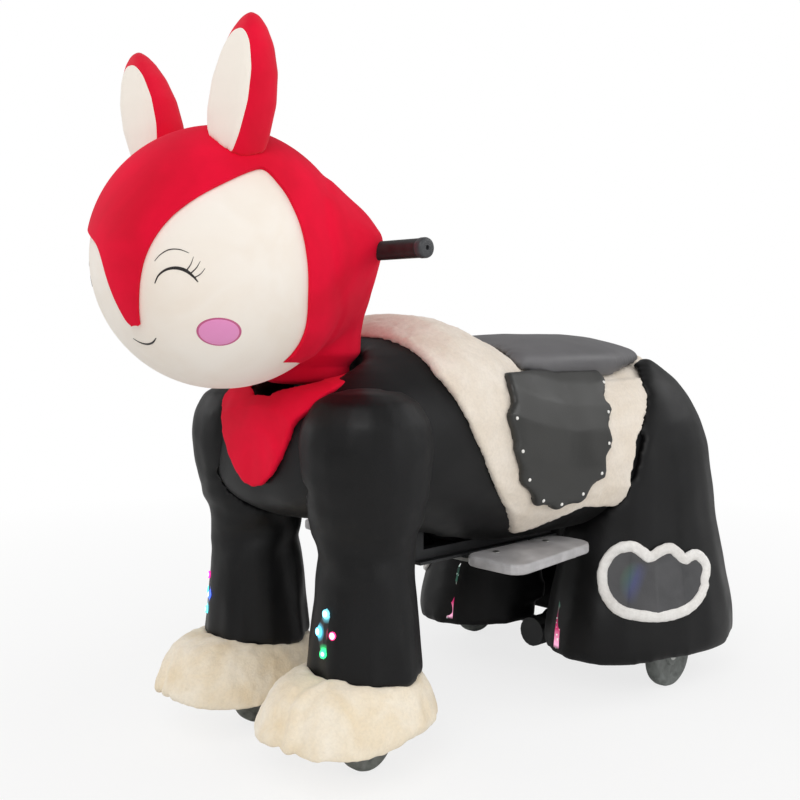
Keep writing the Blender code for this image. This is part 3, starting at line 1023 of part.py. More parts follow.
def build_torso():
    torso = piece("torso", torso_form(), "black_plush")
    y = FEET_Y
    clear = PLUSH_CLEARANCE
    bay_half = BELLY_PLATE_HALF_WIDTH + SEAM_GAP
    bay_top = SPINE_TOP_HEIGHT + clear
    front_floor = LEG_TUBE_TOP_HEIGHT - CROSS_TUBE_DEPTH - clear
    linkage_half = FRONT_SPREAD + ARM_EYE_RADIUS + STEER_SWEEP + clear
    linkage_back = y + ARM_LENGTH + ARM_EYE_RADIUS + clear
    linkage_top = ARM_HEIGHT + ARM_THICKNESS + TIE_ROD_THICKNESS + 4 * clear
    cut(torso,
        guide("main_bay", box((-bay_half, bay_half), (y + BELLY_PLATE_FRONT - SEAM_GAP,
                                                      y + BELLY_PLATE_FRONT + BELLY_PLATE_LENGTH + SEAM_GAP),
                              (BELLY_HEIGHT - 2 * OVERRUN, bay_top))),
        guide("front_bay", box((-RAIL_INNER - RAIL_WIDTH - clear, RAIL_INNER + RAIL_WIDTH + clear),
                               (y - HEAD_TUBE_RADIUS - clear, y + BELLY_PLATE_FRONT + clear),
                               (front_floor, bay_top))),
        guide("linkage_bay", box((-linkage_half, linkage_half), (y - COLUMN_RADIUS - clear, linkage_back),
                                 (ARM_HEIGHT - 2 * clear, linkage_top))),
        guide("cross_tube_slot", box((-FRONT_SPREAD, FRONT_SPREAD), (y - CROSS_TUBE_HALF_WIDTH - 2 * clear,
                                                                     y + CROSS_TUBE_HALF_WIDTH + 2 * clear),
                                     (front_floor + clear / 2, ARM_HEIGHT - clear))),
        guide("board_bay", box((-BOARD_HALF_WIDTH - SEAM_GAP, BOARD_HALF_WIDTH + SEAM_GAP),
                               (y + BOARD_FRONT - SEAM_GAP, y + BOARD_FRONT + BOARD_LENGTH + SEAM_GAP),
                               (bay_top - clear, BOARD_HEIGHT + BOARD_THICKNESS + SEAM_GAP))),
        guide("neck_hole", rod((0, y, bay_top - clear), (0, y, BELLY_HEIGHT + TORSO_HEIGHT + OVERRUN),
                               NECK_RADIUS + NECK_HOLE_CLEARANCE, NECK_SEGMENTS)),
        guide("axle_bay", axle_bay()),
        guide("rear_hoop_bay", box((-RAIL_INNER - RAIL_WIDTH - clear, RAIL_INNER + RAIL_WIDTH + clear),
                                   (y + REAR_HOOP_BACK - clear, y + REAR_HOOP_BACK + RAIL_WIDTH + clear),
                                   (RAIL_FOOT_HEIGHT, bay_top))),
        guide("spine_slot", box((-SPINE_HALF_WIDTH - clear, SPINE_HALF_WIDTH + clear),
                                (y + MIDDLE_HOOP_BACK, y + REAR_HOOP_BACK + RAIL_WIDTH / 2),
                                (SPINE_HEIGHT - clear, bay_top - clear / 2))))
    for side_name, side in SIDES:
        cut(torso, guide("torso_leg_bore_" + side_name, leg_bore(side)))


def axle_bay():
    """The room for the rear cross tube, the drop plates, the axle and its gearbox."""
    half = DROP_PLATE_SPREAD + BEARING_WIDTH / 2 + PLUSH_CLEARANCE
    reach = GEARBOX_RADIUS + PLUSH_CLEARANCE
    return box((-half, half), (REAR_AXLE_Y - reach, REAR_AXLE_Y + reach),
               (-OVERRUN, RAIL_FOOT_HEIGHT + RAIL_WIDTH / 4 + REAR_CROSS_DEPTH + PLUSH_CLEARANCE))


def leg_bore(side):
    """The hole through boot, leg and torso for the frame's leg tube."""
    x = side * FRONT_SPREAD
    return rod((x, FEET_Y, -OVERRUN), (x, FEET_Y, ARM_HEIGHT), LEG_TUBE_RADIUS + PLUSH_CLEARANCE)


def pad_outline():
    return [(FEET_Y + PAD_FRONT + PAD_LENGTH * back, PAD_FOOT_HEIGHT + PAD_HEIGHT * up)
            for back, up in PAD_SHARES]


def bib_outline():
    return half_turned_over([(BIB_HALF_WIDTH * wide, BIB_TIP_HEIGHT + BIB_HEIGHT * up)
                             for wide, up in BIB_SHARES])


def build_coverings():
    side_reach = TORSO_HALF_WIDTH + PAD_THICKNESS + PANEL_THICKNESS + OVERRUN
    pad = piece("saddle_pad", upright_slab(pad_outline(), (0, 0), 90, (-side_reach, side_reach)),
                "cream_plush")
    keep_inside(pad, guide("pad_outside", torso_form(PAD_THICKNESS)))
    cut(pad, guide("pad_underside", torso_form(SEAM_GAP)))

    panel_outline = [(FEET_Y + PANEL_FRONT + PANEL_LENGTH * back, PANEL_FOOT_HEIGHT + PANEL_HEIGHT * up)
                     for back, up in PANEL_SHARES]
    for side_name, side in SIDES:
        panel = piece("side_panel_" + side_name,
                      on_side(upright_slab(panel_outline, (0, 0), 90, (0, side_reach)), side),
                      "panel_leatherette")
        keep_inside(panel, guide("panel_outside_" + side_name, torso_form(PAD_THICKNESS + PANEL_THICKNESS)))
        cut(panel, guide("panel_underside_" + side_name, torso_form(PAD_THICKNESS + SEAM_GAP)),
            guide("panel_seat_edge_" + side_name, seat_form(SEAM_GAP)))

    seat = piece("seat_cushion", seat_form(), "seat_leatherette")
    cut(seat, guide("seat_underside", torso_form(PAD_THICKNESS + SEAM_GAP)))

    bib_front = FEET_Y - CHEST_FORWARD - BIB_THICKNESS - OVERRUN
    bib = piece("bib", upright_slab(bib_outline(), (0, 0), 0, (-(FEET_Y + BIB_BACK), -bib_front)),
                "red_plush")
    keep_inside(bib, guide("bib_outside", torso_form(BIB_THICKNESS)))
    cut(bib, guide("bib_underside", torso_form(SEAM_GAP)),
        guide("bib_neck_hole", rod((0, FEET_Y, BIB_TIP_HEIGHT), (0, FEET_Y, HEAD_HEIGHT),
                                   NECK_RADIUS + NECK_HOLE_CLEARANCE, NECK_SEGMENTS)))
    for side_name, side in SIDES:
        turned_head = head_form(HOOD_THICKNESS + PLUSH_CLEARANCE)
        bmesh.ops.rotate(turned_head, cent=(0, FEET_Y, 0), verts=turned_head.verts,
                         matrix=Matrix.Rotation(radians(side * STEERING_LIMIT), 3, "Z"))
        cut(bib, guide("head_turn_room_" + side_name, turned_head))


def seat_form(grow=0.0):
    """The crowned cushion, its sides drawn in below the welt; the torso cuts its underside."""
    outline = half_turned_over([(SEAT_HALF_WIDTH * wide, SEAT_LENGTH * back) for wide, back in SEAT_SHARES])
    middle = SEAT_LENGTH / 2
    rings = []
    for inset, up in ((SEAT_CROWN_SHARES[0][0], None),) + SEAT_CROWN_SHARES:
        ring = []
        for x, back in outline:
            z = SEAT_SKIRT_HEIGHT if up is None else SEAT_EDGE_HEIGHT + SEAT_CROWN * up
            spread = (inset * SEAT_HALF_WIDTH + grow) / SEAT_HALF_WIDTH
            ring.append(Vector((x * spread, FEET_Y + SEAT_FRONT + middle + (back - middle) * spread, z)))
        rings.append(ring)
    return loft(rings)


def build_legs():
    side_reach = TORSO_HALF_WIDTH + PAD_THICKNESS + OVERRUN
    pad_cut = guide("pad_cut", upright_slab(grown_outline(pad_outline(), RUNNING_GAP), (0, 0), 90,
                                            (-side_reach, side_reach)))
    keep_inside(pad_cut, guide("pad_cut_outside", torso_form(PAD_THICKNESS + SEAM_GAP)))
    bib_front = FEET_Y - CHEST_FORWARD - BIB_THICKNESS - OVERRUN
    bib_cut = guide("bib_cut", upright_slab(grown_outline(bib_outline(), RUNNING_GAP), (0, 0), 0,
                                            (-(FEET_Y + BIB_BACK + SEAM_GAP), -bib_front)))
    keep_inside(bib_cut, guide("bib_cut_outside", torso_form(BIB_THICKNESS + SEAM_GAP)))
    for side_name, side in SIDES:
        leg = piece("front_leg_" + side_name, front_leg_form(side), "black_plush")
        cut(leg, guide("front_leg_top_" + side_name, torso_form(SEAM_GAP)), bib_cut,
            guide("front_leg_bore_" + side_name, leg_bore(side)))
        build_boot(side_name, side)
        build_hind_leg(side_name, side, pad_cut)
        build_lights(side_name, side)


def build_boot(side_name, side):
    height = BOOT_TOP_HEIGHT - BOOT_HEM_HEIGHT
    x = side * FRONT_SPREAD
    rings = [oval(x, FEET_Y - BOOT_FORWARD * forward, BOOT_HEM_HEIGHT + height * up,
                  BOOT_HALF_WIDTH * wide, BOOT_HALF_LENGTH * long) for up, wide, long, forward in BOOT_SHARES]
    boot = piece("boot_" + side_name, loft(rings), "boot_plush")
    hem = FRONT_LEG_RADIUS * FRONT_LEG_SHARES[0][1] + SEAM_GAP
    cut(boot, guide("wheel_well_" + side_name, rod((x, FEET_Y, -OVERRUN), (x, FEET_Y, WHEEL_WELL_HEIGHT),
                                                   WHEEL_WELL_RADIUS, BODY_SEGMENTS)),
        guide("boot_bore_" + side_name, leg_bore(side)),
        guide("boot_leg_seat_" + side_name,
              loft([oval(x, FEET_Y, z, hem, hem)
                    for z in (FRONT_HEM_HEIGHT - SEAM_GAP, BOOT_TOP_HEIGHT + OVERRUN)])))


def build_hind_leg(side_name, side, pad_cut):
    leg = piece("hind_leg_" + side_name, haunch_form(side), "black_plush")
    well = REAR_WHEEL_WIDTH / 2 + REAR_WELL_CLEARANCE
    reach = REAR_WHEEL_RADIUS + REAR_WELL_CLEARANCE
    x = sorted((side * (REAR_WHEEL_SPREAD - well - OVERRUN), side * (REAR_WHEEL_SPREAD + well)))
    cut(leg, guide("hind_leg_top_" + side_name, torso_form(SEAM_GAP)), pad_cut,
        guide("hind_leg_seat_" + side_name, seat_form(SEAM_GAP)),
        guide("hind_wheel_well_" + side_name, box(x, (REAR_AXLE_Y - reach, REAR_AXLE_Y + reach),
                                                  (-OVERRUN, REAR_WHEEL_RADIUS + reach))),
        guide("hind_axle_bay_" + side_name, axle_bay()),
        guide("motor_room_" + side_name,
              box((-MOTOR_RADIUS - OVERRUN, MOTOR_RADIUS + OVERRUN),
                  (REAR_AXLE_Y - GEARBOX_RADIUS - MOTOR_LENGTH - OVERRUN, REAR_AXLE_Y),
                  (-OVERRUN, REAR_WHEEL_RADIUS + GEARBOX_RADIUS + MOTOR_RADIUS))))

    outline = [(BADGE_MIDDLE + BADGE_WIDTH * (across - 0.5), BADGE_FOOT_HEIGHT + BADGE_HEIGHT * up)
               for across, up in BADGE_SHARES]
    badge = piece("paw_badge_" + side_name,
                  on_side(upright_slab(outline, (HAUNCH_SPREAD, HAUNCH_Y), BADGE_AZIMUTH,
                                       (0, HAUNCH_HEM_LENGTH_RADIUS)), side), "seat_leatherette")
    keep_inside(badge, guide("badge_outside_" + side_name, haunch_form(side, BADGE_THICKNESS)))
    cut(badge, guide("badge_underside_" + side_name, haunch_form(side, SEAM_GAP)))

    strip_x = side * (HAUNCH_SPREAD - STRIP_INNER_SHIFT)
    strip = piece("light_strip_" + side_name,
                  box((strip_x - STRIP_HALF_WIDTH, strip_x + STRIP_HALF_WIDTH),
                      (HAUNCH_Y - HAUNCH_HEM_LENGTH_RADIUS - OVERRUN, HAUNCH_Y - HAUNCH_HEM_LENGTH_RADIUS / 2),
                      (STRIP_FOOT_HEIGHT, STRIP_FOOT_HEIGHT + STRIP_LENGTH)), "light_lens")
    keep_inside(strip, guide("strip_outside_" + side_name, haunch_form(side, STRIP_THICKNESS)))
    cut(strip, guide("strip_underside_" + side_name, haunch_form(side, SEAM_GAP)))


def build_lights(side_name, side):
    """Four lenses on a diamond of tape round the front of a leg."""
    azimuth = side * LIGHT_AZIMUTHS[side_name]
    middle = (side * FRONT_SPREAD, FEET_Y)
    span = (FRONT_LEG_RADIUS / 2, FRONT_LEG_RADIUS + OVERRUN)
    wide = LIGHT_REACH + LIGHT_TAPE_BORDER
    tall = LIGHT_RISE + LIGHT_TAPE_BORDER
    diamond = [(0, LIGHT_HEIGHT - tall), (wide, LIGHT_HEIGHT), (0, LIGHT_HEIGHT + tall), (-wide, LIGHT_HEIGHT)]
    lights = piece("leg_lights_" + side_name, upright_slab(diamond, middle, azimuth, span), "light_lens")
    keep_inside(lights, guide("tape_outside_" + side_name, front_leg_form(side, LIGHT_TAPE_THICKNESS)))
    lens_places = ((0, LIGHT_RISE), (0, -LIGHT_RISE), (LIGHT_REACH, 0), (-LIGHT_REACH, 0))
    for number, (across, up) in enumerate(lens_places):
        circle = [(across + LENS_RADIUS * cos(2 * pi * i / 12 + 0.1),
                   LIGHT_HEIGHT + up + LENS_RADIUS * sin(2 * pi * i / 12 + 0.1)) for i in range(12)]
        lens = guide(f"lens_{side_name}_{number}",
                     upright_slab(circle, middle, azimuth,
                                  (FRONT_LEG_RADIUS / 3, FRONT_LEG_RADIUS + 2 * OVERRUN)))
        keep_inside(lens, guide(f"lens_outside_{side_name}_{number}", front_leg_form(side, LENS_PROUD)))
        join(lights, lens)
    cut(lights, guide("lights_underside_" + side_name, front_leg_form(side, SEAM_GAP)))


def build_footrests():
    y = FEET_Y
    bar_top = BELLY_PLATE_FOOT_HEIGHT - SEAM_GAP
    bar_foot = bar_top - STEP_BAR_THICKNESS
    for side_name, side in SIDES:
        x = sorted((side * STEP_INNER, side * (STEP_INNER + STEP_WIDTH)))
        step = box(x, (y + STEP_FRONT, y + STEP_FRONT + STEP_LENGTH),
                   (bar_top + SEAM_GAP, bar_top + SEAM_GAP + STEP_THICKNESS))
        outer_back = [corner for corner in step.verts if abs(corner.co.x) > STEP_INNER + STEP_WIDTH / 2
                      and corner.co.y > y + STEP_FRONT + STEP_LENGTH / 2]
        bmesh.ops.translate(step, vec=(-side * STEP_TAPER, 0, 0), verts=outer_back)
        uprights = [edge for edge in step.edges if abs(edge.verts[0].co.z - edge.verts[1].co.z) > STEP_EDGE]
        bmesh.ops.bevel(step, geom=uprights, offset=STEP_CORNER, offset_type="OFFSET", segments=4, profile=0.5,
                        affect="EDGES", clamp_overlap=True, material=-1)
        slab = piece("footrest_" + side_name, step, "grey_plastic")
        rounding = slab.modifiers.new("edge_rounding", "BEVEL")
        rounding.width = STEP_EDGE
        rounding.segments = 2
        rounding.limit_method = "ANGLE"
        rounding.angle_limit = radians(60)

        first, second = STEP_BAR_PLACES
        outer = STEP_INNER + STEP_WIDTH * 0.65
        bar_x = sorted((side * STEP_BAR_INNER, side * outer))
        bracket = piece("footrest_bracket_" + side_name,
                        box(bar_x, (y + first, y + first + STEP_BAR_WIDTH), (bar_foot, bar_top)), "zinc_steel")
        link_x = sorted((side * (STEP_INNER - STEP_BAR_WIDTH * 1.2), side * (STEP_INNER - STEP_BAR_WIDTH / 5)))
        lug_x = sorted((side * (STEP_INNER - 2 * STEP_LUG_THICKNESS), side * (STEP_INNER - STEP_LUG_THICKNESS)))
        join(bracket, guide("second_bar_" + side_name,
                            box(bar_x, (y + second, y + second + STEP_BAR_WIDTH), (bar_foot, bar_top))),
             guide("bar_link_" + side_name,
                   box(link_x, (y + first + STEP_BAR_WIDTH / 2, y + second + STEP_BAR_WIDTH / 2),
                       (bar_foot + STEP_BAR_THICKNESS / 10, bar_top - STEP_BAR_THICKNESS / 10))),
             guide("bar_lug_" + side_name,
                   box(lug_x, (y + second + STEP_BAR_WIDTH / 6, y + second + STEP_BAR_WIDTH * 5 / 6),
                       (bar_foot + STEP_BAR_THICKNESS / 2, bar_foot + STEP_LUG_HEIGHT))))


def main():
    for obj in list(bpy.data.objects):
        bpy.data.objects.remove(obj, do_unlink=True)
    build_chassis()
    build_bushes()
    build_belly()
    build_rocker()
    build_drive()
    build_steering()
    build_torso()
    build_coverings()
    build_legs()
    build_footrests()


main()
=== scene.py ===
"""Plush ride-on animal: black satin plush over a steel chassis, a red hooded head and cream boots.

Runs from top to bottom in the order in which the toy is put together.
"""
import json
from math import cos, pi, radians, sin

import bmesh
import bpy
import numpy as np
from mathutils import Matrix, Vector, noise
from mathutils.bvhtree import BVHTree


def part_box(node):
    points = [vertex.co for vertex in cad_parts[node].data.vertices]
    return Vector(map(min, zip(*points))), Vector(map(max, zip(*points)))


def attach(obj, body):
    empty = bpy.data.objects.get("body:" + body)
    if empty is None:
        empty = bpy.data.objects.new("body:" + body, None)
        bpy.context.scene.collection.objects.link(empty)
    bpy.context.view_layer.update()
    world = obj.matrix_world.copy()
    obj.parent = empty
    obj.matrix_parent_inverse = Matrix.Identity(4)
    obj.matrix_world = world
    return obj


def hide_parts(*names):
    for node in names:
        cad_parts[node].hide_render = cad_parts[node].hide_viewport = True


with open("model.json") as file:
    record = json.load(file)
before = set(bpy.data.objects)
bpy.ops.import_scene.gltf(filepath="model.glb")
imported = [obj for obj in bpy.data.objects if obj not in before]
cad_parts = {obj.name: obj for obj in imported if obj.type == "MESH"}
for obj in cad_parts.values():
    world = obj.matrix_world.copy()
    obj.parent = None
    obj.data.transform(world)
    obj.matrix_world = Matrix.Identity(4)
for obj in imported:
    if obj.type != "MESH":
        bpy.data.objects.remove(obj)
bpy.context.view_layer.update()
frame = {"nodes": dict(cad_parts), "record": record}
joint_place = {joint["name"]: Vector(joint["pos_m"]) for joint in frame["record"]["behaviour"]["joints"]
               if "pos_m" in joint}
column_y = joint_place["steering_turn"].y

# Viewpoint: the toy is seen from two metres off its left front, a little above its knees.
# The lens is a 48 mm one on a 36 mm sensor, and the frame is square.
viewpoint_lens = bpy.data.cameras.new("viewpoint")
viewpoint_lens.lens = 47.92
viewpoint_lens.sensor_width = 36
viewpoint = bpy.data.objects.new("viewpoint", viewpoint_lens)
viewpoint.location = (1.39356, -1.40767, 0.71784)
viewpoint.rotation_euler = (radians(90 - 4.198), 0, radians(46.5725))
scene = bpy.context.scene
scene.collection.objects.link(viewpoint)
scene.camera = viewpoint


def linear(hex_colour):
    """The linear colour of an sRGB hex value."""
    parts = [int(hex_colour[i:i + 2], 16) / 255 for i in (1, 3, 5)]
    return [p / 12.92 if p <= 0.04045 else ((p + 0.055) / 1.055) ** 2.4 for p in parts] + [1]


def add_node(tree, kind, settings=None, links=None):
    """A node with its settings and the sockets that feed it."""
    node = tree.nodes.new("ShaderNode" + kind)
    for name, value in (settings or {}).items():
        if isinstance(name, int) or name in node.inputs:
            node.inputs[name].default_value = value
        else:
            setattr(node, name, value)
    for name, source in (links or {}).items():
        tree.links.new(source, node.inputs[name])
    return node


def mesh_of(bm, name):
    """The mesh that a bmesh ends as."""
    mesh = bpy.data.meshes.new(name)
    bm.to_mesh(mesh)
    bm.free()
    return mesh


# Floor and light: a plain white floor under four soft boxes and a pale sky.
# The floor shows white to the camera and keeps a light shadow.
floor_half = 12.0
bm = bmesh.new()
bmesh.ops.create_grid(bm, x_segments=1, y_segments=1, size=floor_half)
floor = bpy.data.objects.new("floor", mesh_of(bm, "floor"))
scene.collection.objects.link(floor)
paper = bpy.data.materials.new("white studio paper")
paper.use_nodes = True
tree = paper.node_tree
shader = tree.nodes["Principled BSDF"]
shader.inputs["Base Color"].default_value = linear("#F4F4F3")
shader.inputs["Roughness"].default_value = 0.9
# metres from the toy over which the paper pales to white, and its paleness close to the toy
pales_from, pales_to, near_paleness = 0.7, 2.6, 0.78
path = add_node(tree, "LightPath")
place = add_node(tree, "TexCoord")
away = add_node(tree, "VectorMath", {"operation": "LENGTH"}, {0: place.outputs["Object"]})
paleness = add_node(tree, "MapRange",
                    {"From Min": pales_from, "From Max": pales_to, "To Min": near_paleness, "To Max": 1.0},
                    {"Value": away.outputs["Value"]})
seen = add_node(tree, "Math", {"operation": "MULTIPLY"},
                {0: path.outputs["Is Camera Ray"], 1: paleness.outputs["Result"]})
glow = add_node(tree, "Emission", {"Strength": 1.0})
mixed = add_node(tree, "MixShader", None,
                 {0: seen.outputs[0], 1: shader.outputs[0], 2: glow.outputs[0]})
tree.links.new(mixed.outputs[0], tree.nodes["Material Output"].inputs["Surface"])
floor.data.materials.append(paper)

# the sky shows white, and lights the toy with less
sky_light = 0.45
sky = bpy.data.worlds.new("pale sky")
sky.use_nodes = True
tree = sky.node_tree
path = add_node(tree, "LightPath")
shown = add_node(tree, "Math", {"operation": "MAXIMUM"},
                 {0: path.outputs["Is Camera Ray"], 1: path.outputs["Is Transmission Ray"]})
strength = add_node(tree, "Math", {"operation": "MULTIPLY_ADD", 1: 1 - sky_light, 2: sky_light},
                    {0: shown.outputs[0]})
tree.nodes["Background"].inputs["Color"].default_value = (1, 1, 1, 1)
tree.links.new(strength.outputs[0], tree.nodes["Background"].inputs["Strength"])
scene.world = sky

aimed_at = Vector((0, 0, 0.55))
# name, place, side of the box, watts
soft_boxes = (("key", (1.9, -2.6, 2.7), 2.0, 50), ("fill", (-2.6, -1.7, 1.9), 2.2, 25),
              ("rear", (1.7, 2.6, 2.4), 2.0, 30), ("left", (3.0, 0.4, 1.0), 1.6, 13))
for name, place, size, power in soft_boxes:
    lamp = bpy.data.lights.new(name, "AREA")
    lamp.shape = "SQUARE"
    lamp.size = size
    lamp.energy = power
    soft_box = bpy.data.objects.new(name, lamp)
    soft_box.location = place
    soft_box.rotation_euler = (aimed_at - Vector(place)).to_track_quat("-Z", "Y").to_euler()
    scene.collection.objects.link(soft_box)
scene.view_settings.view_transform = "Standard"


# Chassis, column, handlebar and motor: mild steel tube and plate, powder coated black.
# The coat has a fine orange peel and dulls where hands and tools have rubbed it.
def finish(name, dark, light, cloud, grain, relief, rough, pattern="TexNoise"):
    """A material that drifts between two tones in clouds, under a raised grain; sizes in metres.

    The ribs of a wave pattern stand a third of the grain apart.
    """
    made = bpy.data.materials.new(name)
    made.use_nodes = True
    tree = made.node_tree
    shader = tree.nodes["Principled BSDF"]
    place = add_node(tree, "TexCoord").outputs["Object"]
    drift = add_node(tree, "TexNoise", {"Scale": 1 / cloud, "Detail": 5, "Distortion": 0.5},
                     {"Vector": place})
    tone = add_node(tree, "ValToRGB", None, {"Fac": drift.outputs[0]})
    drift_low, drift_high = 0.3, 0.7
    for stop, position, colour in zip(tone.color_ramp.elements, (drift_low, drift_high), (dark, light)):
        stop.position = position
        stop.color = linear(colour)
    shine = add_node(tree, "MapRange",
                     {"From Min": drift_low, "From Max": drift_high, "To Min": rough[0], "To Max": rough[1]},
                     {"Value": drift.outputs[0]})
    raised = add_node(tree, pattern, {"Scale": 1 / grain}, {"Vector": place})
    bump = add_node(tree, "Bump", {"Strength": 1.0, "Distance": relief}, {"Height": raised.outputs[0]})
    tree.links.new(tone.outputs["Color"], shader.inputs["Base Color"])
    tree.links.new(shine.outputs["Result"], shader.inputs["Roughness"])
    tree.links.new(bump.outputs["Normal"], shader.inputs["Normal"])
    return made, tree, shader, place, tone


def dress(material, *nodes):
    """Gives CAD nodes that are shown as they are their finish."""
    for node in nodes:
        for material_slot in frame["nodes"][node].material_slots:
            material_slot.material = material


coat = finish("black powder coat", "#1B1C1E", "#2B2C2E", cloud=0.045, grain=0.0012, relief=0.00006,
              rough=(0.38, 0.62))[0]
dress(coat, "chassis_frame", "steering_column", "handlebar", "drive_motor")

# Axle, bearings, forks, tie rod and footrest brackets: turned and pressed steel, zinc plated.
# The plate is a soft grey mirror, clouded by handling and scored all over by the tools.
zinc, tree, shader, place, tone = finish("zinc-plated steel", "#A9AAA8", "#D2D3CF",
                                         cloud=0.022, grain=0.0009, relief=0.00003, rough=(0.24, 0.5))
shader.inputs["Metallic"].default_value = 1
dress(zinc, "rear_axle", "axle_bearing_left", "axle_bearing_right", "tie_rod", "fork_left", "fork_right",
      "footrest_bracket_left", "footrest_bracket_right")

# Bushes, belly plate, speaker, socket, switches and battery case: black moulded ABS and nylon.
# The mould's spark texture is a fine even grain.
moulded = finish("black moulded ABS", "#1D1E1F", "#313234", cloud=0.033, grain=0.0009, relief=0.00008,
                 rough=(0.4, 0.6))[0]
dress(moulded, "column_bush_lower", "column_bush_upper", "stem_bush_left", "stem_bush_right", "belly_plate",
      "speaker", "charge_socket", "power_switch", "battery", "switch_housing")

# Battery strap: woven polypropylene webbing, 30 mm wide, with ribs 1 mm apart.
# It passes over the battery and holds it down.
webbing = finish("woven webbing", "#131313", "#2A2A2B", cloud=0.01, grain=0.003, relief=0.0005,
                 rough=(0.75, 0.85), pattern="TexWave")[0]
dress(webbing, "battery_strap")

# Seat board and head board: birch plywood, sanded and left raw.
# The grain runs along the toy.
birch, tree, shader, place, tone = finish("birch plywood", "#B08A57", "#DDBE8E",
                                          cloud=0.006, grain=0.004, relief=0.0001, rough=(0.62, 0.78))
along = add_node(tree, "Mapping", {"Scale": (1, 0.08, 1)}, {"Vector": place})
for grain in [node for node in tree.nodes if node.bl_idname == "ShaderNodeTexNoise"]:
    tree.links.new(along.outputs["Vector"], grain.inputs["Vector"])
dress(birch, "seat_board", "head_board")

# Footrests and controller box: grey moulded polypropylene, a little milky, with a pebbled tread.
# Each footrest lies on two brackets, whose carriage bolts show as low domes.
grey_moulded = finish("grey polypropylene", "#9C9A9B", "#C0BEBF", cloud=0.04, grain=0.0025, relief=0.0001,
                      rough=(0.3, 0.5), pattern="TexVoronoi")[0]
dress(grey_moulded, "footrest_left", "footrest_right", "controller_box")


def piece_from(bm, name, material, body, slot_name, *replaced):
    """A finished piece at the origin, riding on its body."""
    bmesh.ops.recalc_face_normals(bm, faces=bm.faces)
    mesh = mesh_of(bm, name)
    mesh.materials.append(material)
    mesh.shade_smooth()
    mesh.set_sharp_from_angle(angle=radians(40))
    piece = bpy.data.objects.new(name, mesh)
    scene.collection.objects.link(piece)
    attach(piece, body)
    if replaced:
        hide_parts(*replaced)
    return piece


def pair(stem):
    """A mirrored piece's two nodes, each with the sign of its side."""
    return (stem + "_left", 1), (stem + "_right", -1)


bolt_radius, bolt_rise, bolt_sunk = 0.0065, 0.0026, 0.0004
bolts_out, bolts_back = 0.028, (0.060, 0.195)
for node, side in pair("footrest"):
    low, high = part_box(node)
    inner_edge = min(abs(low[0]), abs(high[0]))
    heads = bmesh.new()
    for back in bolts_back:
        top = Matrix.Translation((side * (inner_edge + bolts_out), low[1] + back, high[2] - bolt_sunk))
        bmesh.ops.create_uvsphere(heads, u_segments=20, v_segments=10, radius=1,
                                  matrix=top @ Matrix.Diagonal((bolt_radius, bolt_radius, bolt_rise, 1)))
    piece_from(heads, node + "_bolts", zinc, "carriage", "zinc_steel")


# Wheels: cast grey polyurethane tyres on a moulded hub, turned from one profile.
# The tread is dull and dusty, and the web is set in.
weld_distance = 0.00001


def turned(profile, centre, axis, steps=64):
    """A closed ring or disc spun from (along, radius) points round a level axis through a centre."""
    bm = bmesh.new()
    along = Vector(axis)
    out = Vector((0, 0, 1))
    row = [bm.verts.new(Vector(centre) + along * a + out * r) for a, r in profile]
    edges = [bm.edges.new((row[i], row[(i + 1) % len(row)])) for i in range(len(row))]
    bmesh.ops.spin(bm, geom=row + edges, cent=centre, axis=axis, angle=2 * pi, steps=steps, use_merge=True)
    bmesh.ops.remove_doubles(bm, verts=bm.verts, dist=weld_distance)
    return bm


polyurethane = finish("grey cast polyurethane", "#565A57", "#858986",
                      cloud=0.017, grain=0.002, relief=0.00012, rough=(0.4, 0.7))[0]
# share of the half width, share of the radius
half_profile = ((1.00, 0.16), (1.00, 0.30), (0.72, 0.35), (0.70, 0.68), (0.86, 0.74), (0.97, 0.82),
                (0.92, 0.90), (0.74, 0.96), (0.42, 0.995))
wheel_profile = half_profile + ((0.00, 1.00),) + tuple((-a, r) for a, r in reversed(half_profile))
wheel_bodies = {"front_wheel_left": "front_wheel_left_body", "front_wheel_right": "front_wheel_right_body",
                "rear_wheel_left": "rear_axle_body", "rear_wheel_right": "rear_axle_body"}
for node, body in wheel_bodies.items():
    low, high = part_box(node)
    centre = (Vector(low) + Vector(high)) / 2
    half_width, radius = (high[0] - low[0]) / 2, (high[2] - low[2]) / 2
    wheel = turned([(a * half_width, r * radius) for a, r in wheel_profile], centre, (1, 0, 0))
    piece_from(wheel, node + "_cast", polyurethane, body, "grey_wheel", node)

